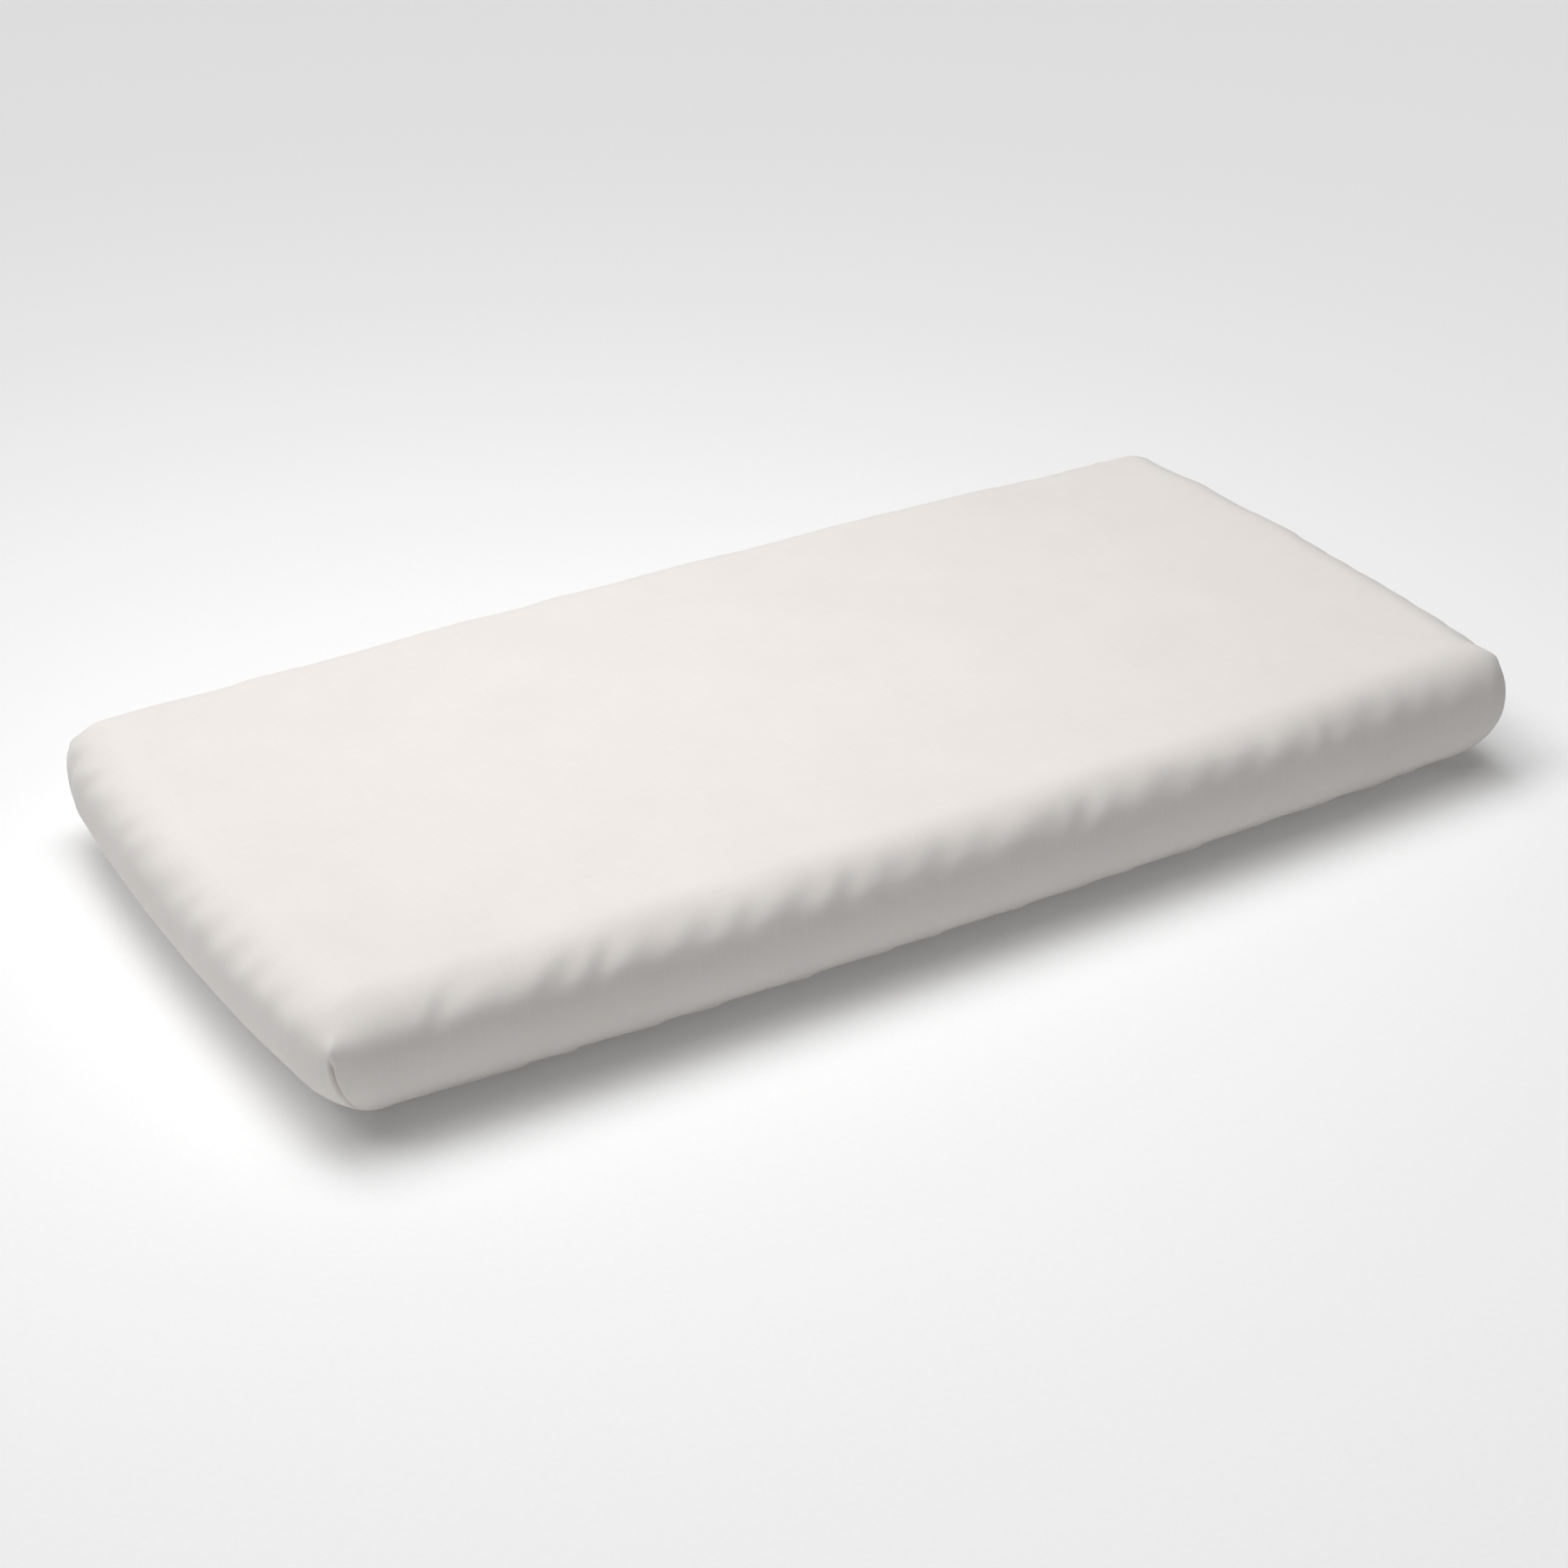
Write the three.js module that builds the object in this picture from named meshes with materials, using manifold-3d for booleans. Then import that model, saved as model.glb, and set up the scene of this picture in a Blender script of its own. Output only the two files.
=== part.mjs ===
// A rectangular foam changing pad in a fitted cotton cover.
//
// Millimetres, +Z up. The origin is the middle of the underside, X runs along the pad and Y across it.
// The pad rests on the flat ring of cover cloth that its elastic hem pulls under the edges.
// Working inwards there is the cotton cover, a wipe-clean casing with a zip in its base, and the foam.

import * as THREE from "three";
import { mergeVertices } from "three/addons/utils/BufferGeometryUtils.js";
import Module from "manifold-3d";

// Driving dimensions.
const LENGTH = 813; // 32 inches overall, at the middle of each end
const WIDTH = 406; // 16 inches overall, at the middle of each long side
const HEIGHT = 81;
const END_BOW = 7.4; // how far the middle of an end stands out past its corners
const SIDE_BOW = 8.3; // how far the middle of a long side stands out past its corners
const CORNER = 28; // corner radius in plan at the fullest height
const TIGHTEST_CORNER = 6; // corner radius in plan where the top face begins
const TOP_ROUND = 32; // radius from the top face over to the side
const UNDER_ROUND = 45; // radius from the side round to the underside
const GAP = 0.3; // clearance between pieces that touch

// The fitted cover. Its edge is folded back on itself to hold the elastic.
const CLOTH = 1.0;
const HEM_REACH = 79; // from the outline in to the fold of the hem
const HEM_CORNER = 60; // corner radius of the hem under the elastic's pull
const HEM_FOLD = 15; // width of the folded-back cloth
const ELASTIC_THICK = 1.0;
const ELASTIC_WIDE = 10;
const SEAM_WIDE = 8; // overlocked allowance of each corner dart
const SEAM_THICK = 1.0;
const SEAM_ROOM = 1.2; // from the cloth to the flat allowance across its curved corner
const SEAM_START = 30; // degrees above the side at which each dart begins
const LABEL = { long: 38, wide: 30, thick: 0.6, y: 36, z: 1.6 };

// The wipe-clean casing and the foam inside it.
const FILM = 0.9;
const CASING_DEPTH = CLOTH + GAP;
const FOAM_DEPTH = CASING_DEPTH + FILM + GAP;
const PAD_CORNER = CORNER + 6; // rounder than the cover, which leaves room for its corner seams
const CASING_ROUND = 39.5;
const CASING_FLOOR = 5.6; // underside of the casing, which the gathered hem lifts off the table
const CASING_TURN = 48; // from the outline in to where the top shell meets the base
const SEAM_TAPE = { thick: 0.8, wide: 10 };
const FOAM_FLOOR = 8.0;
const GROOVE = { high: 1.2, wide: 12 }; // relief in the foam over the slider

// The zip, closed at its +X end.
const ZIP_HALF = 280; // half the length of the teeth
const ZIP_SLOT = { half: 290, wide: 14 };
const TAPE = { half: 300, wide: 14.1, thick: 0.7 };
const TEETH = { gap: 0.9, wide: 2.5, low: 4.3, high: 6.5 };
const STOP_LONG = 3;
const END_TAB = { long: 30, wide: 22, thick: 0.9, middle: 303 };
const SLIDER = { half: 5.5, frontHalfWidth: 4.6, backHalfWidth: 3.9, plate: 0.95, low: 3.05, top: 7.8 };
const SLIDER_X = ZIP_HALF - SLIDER.half;
const BAIL = { half: 4.5, thick: 1.0, bar: 0.8, wide: 2.6, drop: 2.45 };
const PIVOT_Z = 2.25;
const PULL = { long: 28, thick: 1.0, eyeHalf: 3.4, eyeHole: 2.0, eyeEnd: 5.2, bar: 0.35, endHalf: 4.2 };

const CORNER_STEPS = 4;
const END_STEPS = 6;
const SIDE_STEPS = 8;
const ROUND_STEPS = 4;

const radians = THREE.MathUtils.degToRad;

// ---- Solid modelling ----

const wasm = await Module();
wasm.setup();

function solidFrom(geometry) {
  const bare = geometry.clone();
  bare.deleteAttribute("normal");
  bare.deleteAttribute("uv");
  const merged = mergeVertices(bare, 1e-4);
  const vertProperties = new Float32Array(merged.attributes.position.array);
  const triVerts = new Uint32Array(merged.index.array);
  return new wasm.Manifold(new wasm.Mesh({ numProp: 3, vertProperties, triVerts }));
}

function geometryFrom(solid) {
  const mesh = solid.getMesh();
  const geometry = new THREE.BufferGeometry();
  geometry.setAttribute("position", new THREE.BufferAttribute(mesh.vertProperties, 3));
  geometry.setIndex(new THREE.BufferAttribute(mesh.triVerts, 1));
  geometry.computeVertexNormals();
  return geometry;
}

// A box between two corners.
function block(x0, x1, y0, y1, z0, z1) {
  const box = new THREE.BoxGeometry(x1 - x0, y1 - y0, z1 - z0);
  return box.translate((x0 + x1) / 2, (y0 + y1) / 2, (z0 + z1) / 2);
}

// A flat outline in X and Y, raised from z0 to z1.
function plate(shape, z0, z1, curveSegments = 8) {
  const settings = { depth: z1 - z0, bevelEnabled: false, curveSegments };
  return new THREE.ExtrudeGeometry(shape, settings).translate(0, 0, z0);
}

// A skin through closed outlines, all with the same number of points, counter-clockwise from above.
// Capped, it runs from the middle of the first outline to the middle of the last; otherwise it joins up.
function loft(outlines, capped) {
  const around = outlines[0].length;
  const points = outlines.flat();
  const faces = [];
  const bands = capped ? outlines.length - 1 : outlines.length;
  for (let band = 0; band < bands; band++) {
    const here = band * around;
    const next = ((band + 1) % outlines.length) * around;
    for (let i = 0; i < around; i++) {
      const j = (i + 1) % around;
      faces.push(here + i, next + i, next + j, here + i, next + j, here + j);
    }
  }
  if (capped) {
    const last = (outlines.length - 1) * around;
    const top = points.push(middle(outlines[0])) - 1;
    const bottom = points.push(middle(outlines.at(-1))) - 1;
    for (let i = 0; i < around; i++) {
      const j = (i + 1) % around;
      faces.push(top, i, j, bottom, last + j, last + i);
    }
  }
  const geometry = new THREE.BufferGeometry().setFromPoints(points);
  geometry.setIndex(faces);
  geometry.computeVertexNormals();
  return geometry;
}

function middle(outline) {
  const sum = outline.reduce((total, point) => total.add(point), new THREE.Vector3());
  return sum.divideScalar(outline.length);
}

// ---- The pad's outline ----

// The centre of the corner arc, on the +X +Y corner, of the outline that lies inset from the overall size.
function cornerCentre(inset, corner) {
  return { x: LENGTH / 2 - END_BOW - inset - corner, y: WIDTH / 2 - SIDE_BOW - inset - corner };
}

// How far a long side's middle line is from the X axis, at x.
function sideY(x, inset, corner) {
  const share = x / cornerCentre(inset, corner).x;
  return WIDTH / 2 - inset - SIDE_BOW * share * share;
}

function endX(y, inset, corner) {
  const share = y / cornerCentre(inset, corner).y;
  return LENGTH / 2 - inset - END_BOW * share * share;
}

// One outline, counter-clockwise from the +X -Y corner: four bowed sides and four rounded corners.
function outline({ inset, z, corner }) {
  const centre = cornerCentre(inset, corner);
  const points = [];
  const add = (x, y) => points.push(new THREE.Vector3(x, y, z));
  const bend = (signX, signY, start) => {
    for (let i = 0; i <= CORNER_STEPS; i++) {
      const turn = radians(start + (90 * i) / CORNER_STEPS);
      add(signX * centre.x + corner * Math.cos(turn), signY * centre.y + corner * Math.sin(turn));
    }
  };
  const between = (steps, place) => {
    for (let i = 1; i < steps; i++) place((2 * i) / steps - 1);
  };
  bend(1, -1, -90);
  between(END_STEPS, (t) => add(endX(t * centre.y, inset, corner), t * centre.y));
  bend(1, 1, 0);
  between(SIDE_STEPS, (t) => add(-t * centre.x, sideY(t * centre.x, inset, corner)));
  bend(-1, 1, 90);
  between(END_STEPS, (t) => add(-endX(t * centre.y, inset, corner), -t * centre.y));
  bend(-1, -1, 180);
  between(SIDE_STEPS, (t) => add(t * centre.x, -sideY(t * centre.x, inset, corner)));
  return points;
}

// Points of a quarter round in the section, as inset and height. Angle 90 is straight up, 0 is outwards.
function quarter(inset, z, radius, from, to) {
  const points = [];
  for (let i = 0; i <= ROUND_STEPS; i++) {
    const turn = radians(from + ((to - from) * i) / ROUND_STEPS);
    points.push({ inset: inset - radius * Math.cos(turn), z: z + radius * Math.sin(turn) });
  }
  return points;
}

// ---- The fitted cover ----

// Corner radius of the cover's outline: tight where the top begins, and opening out towards the hem.
function upperCorner(inset) {
  return Math.max(CORNER - inset, TIGHTEST_CORNER);
}

function lowerCorner(inset) {
  const share = Math.max(0, (inset - UNDER_ROUND) / (HEM_REACH - UNDER_ROUND));
  return CORNER + (HEM_CORNER - CORNER) * share;
}

// The cover's side in section, at a depth inside its outer face, from the top face down to the underside.
function coverSide(depth) {
  const upper = quarter(TOP_ROUND, HEIGHT - TOP_ROUND, TOP_ROUND - depth, 90, 0);
  const lower = quarter(UNDER_ROUND, UNDER_ROUND, UNDER_ROUND - depth, 0, -90);
  return [
    ...upper.map((p) => ({ ...p, corner: upperCorner(p.inset) })),
    ...lower.map((p) => ({ ...p, corner: CORNER - depth * Math.max(0, (UNDER_ROUND - p.inset) / UNDER_ROUND) })),
  ];
}

function coverCloth() {
  const hem = [
    [HEM_REACH, 0],
    [HEM_REACH, 2 * CLOTH + ELASTIC_THICK + 2 * GAP],
    [HEM_REACH - HEM_FOLD, 2 * CLOTH + ELASTIC_THICK + 2 * GAP],
    [HEM_REACH - HEM_FOLD, CLOTH + ELASTIC_THICK + 2 * GAP],
    [HEM_REACH - CLOTH, CLOTH + ELASTIC_THICK + 2 * GAP],
    [HEM_REACH - CLOTH, CLOTH],
  ].map(([inset, z]) => ({ inset, z, corner: lowerCorner(inset) }));
  const sections = [...coverSide(0), ...hem, ...coverSide(CLOTH).reverse()];
  return loft(sections.map(outline), true);
}

function hemElastic() {
  const inner = HEM_REACH - CLOTH - GAP;
  const low = CLOTH + GAP;
  const sections = [
    [inner - ELASTIC_WIDE, low],
    [inner, low],
    [inner, low + ELASTIC_THICK],
    [inner - ELASTIC_WIDE, low + ELASTIC_THICK],
  ].map(([inset, z]) => ({ inset, z, corner: lowerCorner(inset) }));
  return loft(sections.map(outline), false);
}

// The overlocked allowance of a corner dart: a strip that follows the inside of the cover's corner.
function cornerSeam(signX, signY) {
  const outer = CLOTH + SEAM_ROOM;
  const faces = [outer, outer + SEAM_THICK].map((depth) => {
    const side = coverSide(depth);
    const start = side.findIndex((p) => p.z < HEIGHT - TOP_ROUND + TOP_ROUND * Math.sin(radians(SEAM_START)));
    const tail = { inset: UNDER_ROUND + 12, z: depth, corner: lowerCorner(UNDER_ROUND + 12) };
    return [...side.slice(start).filter((p, i, all) => i === 0 || p.z !== all[i - 1].z), tail];
  });
  const across = new THREE.Vector3(-signY, signX, 0).setLength(SEAM_WIDE / 2);
  const place = ({ inset, z, corner }) => {
    const centre = cornerCentre(inset, corner);
    const reach = corner * Math.SQRT1_2;
    return new THREE.Vector3(signX * (centre.x + reach), signY * (centre.y + reach), z);
  };
  const sections = faces[0].map((p, i) => {
    const out = place(p);
    const inn = place(faces[1][i]);
    return [out.clone().sub(across), out.clone().add(across), inn.clone().add(across), inn.clone().sub(across)];
  });
  return loft(sections, true);
}

function careLabel() {
  const half = LABEL.wide / 2;
  const edge = -endX(LABEL.y + half, HEM_REACH, HEM_CORNER) + GAP;
  return block(edge, edge + LABEL.long, LABEL.y - half, LABEL.y + half, LABEL.z, LABEL.z + LABEL.thick);
}

// ---- The casing ----

function padCorner(inset) {
  return Math.max(PAD_CORNER - inset, TIGHTEST_CORNER + 2);
}

// The pad's side in section at a depth inside the cover's outer face, down to its flat base.
function padSide(depth, round) {
  const upper = quarter(TOP_ROUND, HEIGHT - TOP_ROUND, TOP_ROUND - depth, 90, 0);
  const lower = quarter(depth + round, CASING_FLOOR + CASING_ROUND, round, 0, -90);
  return [
    ...upper.map((p) => ({ ...p, corner: padCorner(p.inset) })),
    ...lower.map((p) => ({ ...p, corner: padCorner(depth) })),
  ];
}

function casingTopShell() {
  const inner = CASING_DEPTH + FILM;
  const corner = padCorner(CASING_DEPTH);
  const lip = [
    { inset: CASING_TURN, z: CASING_FLOOR, corner },
    { inset: CASING_TURN, z: CASING_FLOOR + FILM, corner },
  ];
  const outside = padSide(CASING_DEPTH, CASING_ROUND);
  const inside = padSide(inner, CASING_ROUND - FILM).reverse();
  return loft([...outside, ...lip, ...inside].map(outline), true);
}

// Half of the casing's base, with a notch along its inner edge for the zip.
function casingBase(side) {
  const corner = padCorner(CASING_DEPTH);
  const inset = CASING_TURN + GAP;
  const low = CASING_FLOOR;
  const high = CASING_FLOOR + FILM;
  const slab = solidFrom(loft([outline({ inset, z: high, corner }), outline({ inset, z: low, corner })], true));
  const near = (side * GAP) / 2;
  const far = side * WIDTH;
  const half = solidFrom(block(-LENGTH, LENGTH, Math.min(near, far), Math.max(near, far), 0, HEIGHT));
  const notch = ZIP_SLOT.wide / 2;
  const slot = solidFrom(block(-ZIP_SLOT.half, ZIP_SLOT.half, -notch, notch, 0, HEIGHT));
  return geometryFrom(slab.intersect(half).subtract(slot));
}

// The tape that binds the allowances of the seam between the top shell and the base.
function casingSeamTape() {
  const corner = padCorner(CASING_DEPTH);
  const low = CASING_FLOOR + FILM + GAP;
  const high = low + SEAM_TAPE.thick;
  const near = CASING_TURN - SEAM_TAPE.wide / 2;
  const far = CASING_TURN + SEAM_TAPE.wide / 2;
  const sections = [
    { inset: near, z: low, corner },
    { inset: far, z: low, corner },
    { inset: far, z: high, corner },
    { inset: near, z: high, corner },
  ];
  return loft(sections.map(outline), false);
}

function foamCore() {
  const round = CASING_FLOOR + CASING_ROUND - FOAM_FLOOR;
  const body = solidFrom(loft(padSide(FOAM_DEPTH, round).map(outline), true));
  const half = GROOVE.wide / 2;
  const groove = block(-ZIP_SLOT.half, ZIP_SLOT.half, -half, half, 0, FOAM_FLOOR + GROOVE.high);
  return geometryFrom(body.subtract(solidFrom(groove)));
}

// ---- The zip ----

// side is 1 for the +Y half of the zip and -1 for the -Y half.
function zipTape(side) {
  const near = side * TEETH.gap;
  const far = side * (TEETH.gap + TAPE.wide);
  const low = CASING_FLOOR + FILM + GAP;
  return block(-TAPE.half, TAPE.half, Math.min(near, far), Math.max(near, far), low, low + TAPE.thick);
}

// The rounded section of one row of teeth, run from x0 to x1.
function teethRow(side, x0, x1) {
  const centreY = side * (TEETH.gap + TEETH.wide / 2);
  const centreZ = (TEETH.low + TEETH.high) / 2;
  const section = new THREE.Shape();
  section.absellipse(0, 0, (TEETH.high - TEETH.low) / 2, TEETH.wide / 2, 0, 2 * Math.PI);
  const bar = new THREE.ExtrudeGeometry(section, { depth: x1 - x0, bevelEnabled: false, curveSegments: 5 });
  return bar.rotateY(Math.PI / 2).translate(x0, centreY, centreZ);
}

function zipBottomStop() {
  const wide = TEETH.gap + TEETH.wide;
  const end = -ZIP_HALF - GAP;
  return block(end - STOP_LONG, end, -wide, wide, TEETH.low, TEETH.high);
}

// The cloth tab sewn over one end of the zip.
function zipEndTab(side) {
  const half = END_TAB.long / 2;
  const high = CASING_FLOOR - GAP;
  const middleX = side * END_TAB.middle;
  return block(middleX - half, middleX + half, -END_TAB.wide / 2, END_TAB.wide / 2, high - END_TAB.thick, high);
}

// The slider's two plates, narrower behind than in front, joined by a post between the rows of teeth.
function sliderBody() {
  const { half, frontHalfWidth: front, backHalfWidth: back, plate: thick, low, top } = SLIDER;
  const shape = new THREE.Shape();
  shape.moveTo(-half, -back);
  shape.lineTo(0, -back);
  shape.lineTo(half - 1.5, -front);
  shape.lineTo(half, -front + 1.5);
  shape.lineTo(half, front - 1.5);
  shape.lineTo(half - 1.5, front);
  shape.lineTo(0, back);
  shape.lineTo(-half, back);
  const outer = solidFrom(plate(shape, low, low + thick));
  const inner = solidFrom(plate(shape, top, top + thick));
  const post = solidFrom(block(-1, 3.5, -0.6, 0.6, low + 0.5, top + 0.5));
  return geometryFrom(outer.add(inner).add(post).add(bail()));
}

// The bridge under the slider's outer plate that the pull tab swings on.
function bail() {
  const arch = new THREE.Shape();
  const foot = 0.3;
  arch.moveTo(-BAIL.half, foot);
  arch.lineTo(-BAIL.half, -BAIL.drop + BAIL.bar);
  arch.lineTo(-BAIL.half + BAIL.bar, -BAIL.drop);
  arch.lineTo(BAIL.half - BAIL.bar, -BAIL.drop);
  arch.lineTo(BAIL.half, -BAIL.drop + BAIL.bar);
  arch.lineTo(BAIL.half, foot);
  arch.lineTo(BAIL.half - BAIL.thick, foot);
  arch.lineTo(BAIL.half - BAIL.thick, -BAIL.drop + BAIL.bar);
  arch.lineTo(-BAIL.half + BAIL.thick, -BAIL.drop + BAIL.bar);
  arch.lineTo(-BAIL.half + BAIL.thick, foot);
  const bridge = new THREE.ExtrudeGeometry(arch, { depth: BAIL.wide, bevelEnabled: false });
  return solidFrom(bridge.rotateX(Math.PI / 2).translate(0, BAIL.wide / 2, SLIDER.low));
}

// The pull tab, drawn about its own pivot and lying towards -X.
function pullTab() {
  const tab = new THREE.Shape();
  const neck = PULL.eyeEnd + 1.4;
  const endCentre = -PULL.long + PULL.endHalf;
  tab.moveTo(PULL.bar, -PULL.eyeHalf);
  tab.lineTo(PULL.bar, PULL.eyeHalf);
  tab.lineTo(-neck, PULL.eyeHalf);
  tab.lineTo(endCentre, PULL.endHalf);
  tab.absarc(endCentre, 0, PULL.endHalf, Math.PI / 2, (3 * Math.PI) / 2);
  tab.lineTo(-neck, -PULL.eyeHalf);
  const eye = new THREE.Path();
  eye.moveTo(-PULL.bar, -PULL.eyeHole);
  eye.lineTo(-PULL.eyeEnd, -PULL.eyeHole);
  eye.lineTo(-PULL.eyeEnd, PULL.eyeHole);
  eye.lineTo(-PULL.bar, PULL.eyeHole);
  tab.holes.push(eye);
  return plate(tab, -PULL.thick / 2, PULL.thick / 2, 6);
}

// ---- The assembly ----

function matter(colour, roughness, metalness = 0) {
  return new THREE.MeshStandardMaterial({ color: new THREE.Color(colour), roughness, metalness });
}

const COTTON = matter("#efebe7", 0.95);
const THREAD = matter("#f4f1ec", 0.9);
const RUBBER_ELASTIC = matter("#e9e6df", 0.8);
const LABEL_SATIN = matter("#f7f7f5", 0.55);
const WIPE_CLEAN = matter("#f3f3f1", 0.45);
const ZIP_CLOTH = matter("#e8e8e6", 0.85);
const ZIP_NYLON = matter("#eeeeec", 0.4);
const ZIP_METAL = matter("#b9bbbd", 0.35, 0.9);
const FOAM = matter("#f4ecc8", 0.95);

const changingPad = new THREE.Group();

function piece(name, geometry, material) {
  const mesh = new THREE.Mesh(geometry, material);
  mesh.name = name;
  changingPad.add(mesh);
  return mesh;
}

piece("cover_cloth", coverCloth(), COTTON);
piece("cover_hem_elastic", hemElastic(), RUBBER_ELASTIC);
piece("cover_care_label", careLabel(), LABEL_SATIN);
for (const [end, signX] of [["left", -1], ["right", 1]]) {
  for (const [side, signY] of [["front", -1], ["back", 1]]) {
    piece(`cover_seam_${side}_${end}`, cornerSeam(signX, signY), THREAD);
  }
}

piece("casing_top_shell", casingTopShell(), WIPE_CLEAN);
piece("casing_seam_tape", casingSeamTape(), ZIP_CLOTH);
piece("foam_core", foamCore(), FOAM);
for (const [name, side] of [["front", -1], ["back", 1]]) {
  piece(`casing_base_${name}`, casingBase(side), WIPE_CLEAN);
  piece(`zip_tape_${name}`, zipTape(side), ZIP_CLOTH);
  piece(`zip_teeth_${name}`, teethRow(side, -ZIP_HALF, ZIP_HALF), ZIP_NYLON);
  piece(`zip_top_stop_${name}`, teethRow(side, ZIP_HALF + GAP, ZIP_HALF + GAP + STOP_LONG), ZIP_METAL);
}
piece("zip_bottom_stop", zipBottomStop(), ZIP_METAL);
piece("zip_end_tab_left", zipEndTab(-1), WIPE_CLEAN);
piece("zip_end_tab_right", zipEndTab(1), WIPE_CLEAN);
piece("zip_slider", sliderBody(), ZIP_METAL).position.set(SLIDER_X, 0, 0);
piece("zip_pull_tab", pullTab(), ZIP_METAL).position.set(SLIDER_X, 0, PIVOT_Z);

export default changingPad;
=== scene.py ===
# A foam changing pad in a fitted cotton cover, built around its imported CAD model. Metres, +Z up.
#
# The cover is one sheet of cloth: the top, four skirts joined by a dart at each corner, and the part that
# its elastic hem gathers under the pad. The casing, its zip and the foam inside it are seen from below.
import math

import bpy
import numpy as np
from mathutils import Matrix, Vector


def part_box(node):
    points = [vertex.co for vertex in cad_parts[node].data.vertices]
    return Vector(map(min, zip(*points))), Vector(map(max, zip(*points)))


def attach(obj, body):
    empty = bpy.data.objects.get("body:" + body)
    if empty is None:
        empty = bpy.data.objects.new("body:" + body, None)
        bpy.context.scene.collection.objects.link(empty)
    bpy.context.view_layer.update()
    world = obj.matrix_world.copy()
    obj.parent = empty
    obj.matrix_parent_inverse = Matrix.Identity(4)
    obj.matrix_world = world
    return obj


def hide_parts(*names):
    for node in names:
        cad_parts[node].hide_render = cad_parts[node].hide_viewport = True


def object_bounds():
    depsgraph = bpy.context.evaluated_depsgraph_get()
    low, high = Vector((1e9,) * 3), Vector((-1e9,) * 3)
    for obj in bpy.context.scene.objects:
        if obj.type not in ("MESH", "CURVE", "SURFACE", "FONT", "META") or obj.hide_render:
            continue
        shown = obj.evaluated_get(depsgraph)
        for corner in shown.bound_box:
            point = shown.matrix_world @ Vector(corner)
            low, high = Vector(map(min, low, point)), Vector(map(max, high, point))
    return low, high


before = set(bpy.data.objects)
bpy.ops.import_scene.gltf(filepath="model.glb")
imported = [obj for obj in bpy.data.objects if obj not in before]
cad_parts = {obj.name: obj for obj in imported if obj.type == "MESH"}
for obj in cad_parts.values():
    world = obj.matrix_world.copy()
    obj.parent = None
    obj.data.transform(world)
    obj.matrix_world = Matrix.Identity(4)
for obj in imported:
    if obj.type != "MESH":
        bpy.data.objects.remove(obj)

cad_low, cad_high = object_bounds()

# ---- Driving sizes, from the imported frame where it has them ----

MM = 0.001
LENGTH = cad_high.x - cad_low.x
WIDTH = cad_high.y - cad_low.y
HEIGHT = cad_high.z

END_BOW = 7.4 * MM  # how far the middle of each end stands out beyond its corners
SIDE_BOW = 8.3 * MM
CORNER = 28 * MM  # plan radius of the corners, at the widest
TOP_CORNER = 6 * MM  # and where the cloth closes over the top
HEM_CORNER = 60 * MM  # and at the hem
TOP_ROUND = 32 * MM
UNDER_ROUND = 45 * MM
HEM_REACH = 79 * MM  # how far in under the pad the hem lies
HEM_FOLD = 15 * MM  # how wide the fold is that holds the elastic
TOP_REACH = 70 * MM  # where the skirts meet the grid of the top

PAD_CORNER = 34 * MM
CASING_DEPTH = 1.6 * MM  # how far inside the cover the foam's casing lies
CASING_ROUND = 39.5 * MM
CASING_FLOOR = 5.6 * MM

COVER_STEPS = (220, 110)  # columns of cloth along a long side and along an end
FILM_STEPS = (96, 46)  # and of the casing under it
CLOTH_STEP = 4.6 * MM  # height of its rows
CROWDING = 0.80  # how much narrower the columns are beside a dart
CROWD_REACH = 11 * MM


# ---- The pad's outline and section ----

def crowded(length, steps):
    """Places along one side, closer together towards both of its corners."""
    fine = np.linspace(0, length, 3000)
    from_end = np.minimum(fine, length - fine)
    density = 1 / (1 - CROWDING * np.exp(-((from_end / CROWD_REACH) ** 2)))
    count = np.concatenate([[0], np.cumsum((density[1:] + density[:-1]) / 2)])
    return np.interp(np.linspace(0, count[-1], steps + 1), count, fine)


def side_points(half_length, bow, end_reach, corner, steps):
    """One side of an outline from corner to corner, as (along, out) pairs.

    half_length is to the end of the outline, end_reach is how far out the side's ends are, and bow
    is how much further out its middle is. Each end stops at the middle of its corner's arc."""
    centre = half_length - corner
    along = np.linspace(-centre, centre, 400)
    out = end_reach + bow * (1 - (along / centre) ** 2)
    turn = np.radians(np.linspace(45, 0, 24))[:-1]
    arc_along = centre + corner * np.sin(turn)
    arc_out = end_reach - corner + corner * np.cos(turn)
    line = np.concatenate([
        np.column_stack([-arc_along, arc_out]),
        np.column_stack([along, out]),
        np.column_stack([arc_along, arc_out])[::-1],
    ])
    run = run_along(line)
    place = crowded(run[-1], steps)
    return np.column_stack([np.interp(place, run, line[:, 0]), np.interp(place, run, line[:, 1])])


def run_along(line):
    """The distance along a line of points, at each point."""
    return np.concatenate([[0], np.cumsum(np.linalg.norm(np.diff(line, axis=0), axis=1))])


def outline(inset, corner, steps=COVER_STEPS):
    """Points of one outline, counter-clockwise from the middle of the corner at -X -Y.

    steps are how many columns there are along a long side and along a short one."""
    half_x = LENGTH / 2 - END_BOW - inset
    half_y = WIDTH / 2 - SIDE_BOW - inset
    long_side = side_points(half_x, SIDE_BOW, half_y, corner, steps[0])[:-1]
    short_side = side_points(half_y, END_BOW, half_x, corner, steps[1])[:-1]
    return np.concatenate([
        np.column_stack([long_side[:, 0], -long_side[:, 1]]),
        np.column_stack([short_side[:, 1], short_side[:, 0]]),
        np.column_stack([-long_side[:, 0], long_side[:, 1]]),
        np.column_stack([-short_side[:, 1], -short_side[:, 0]]),
    ])


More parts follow.
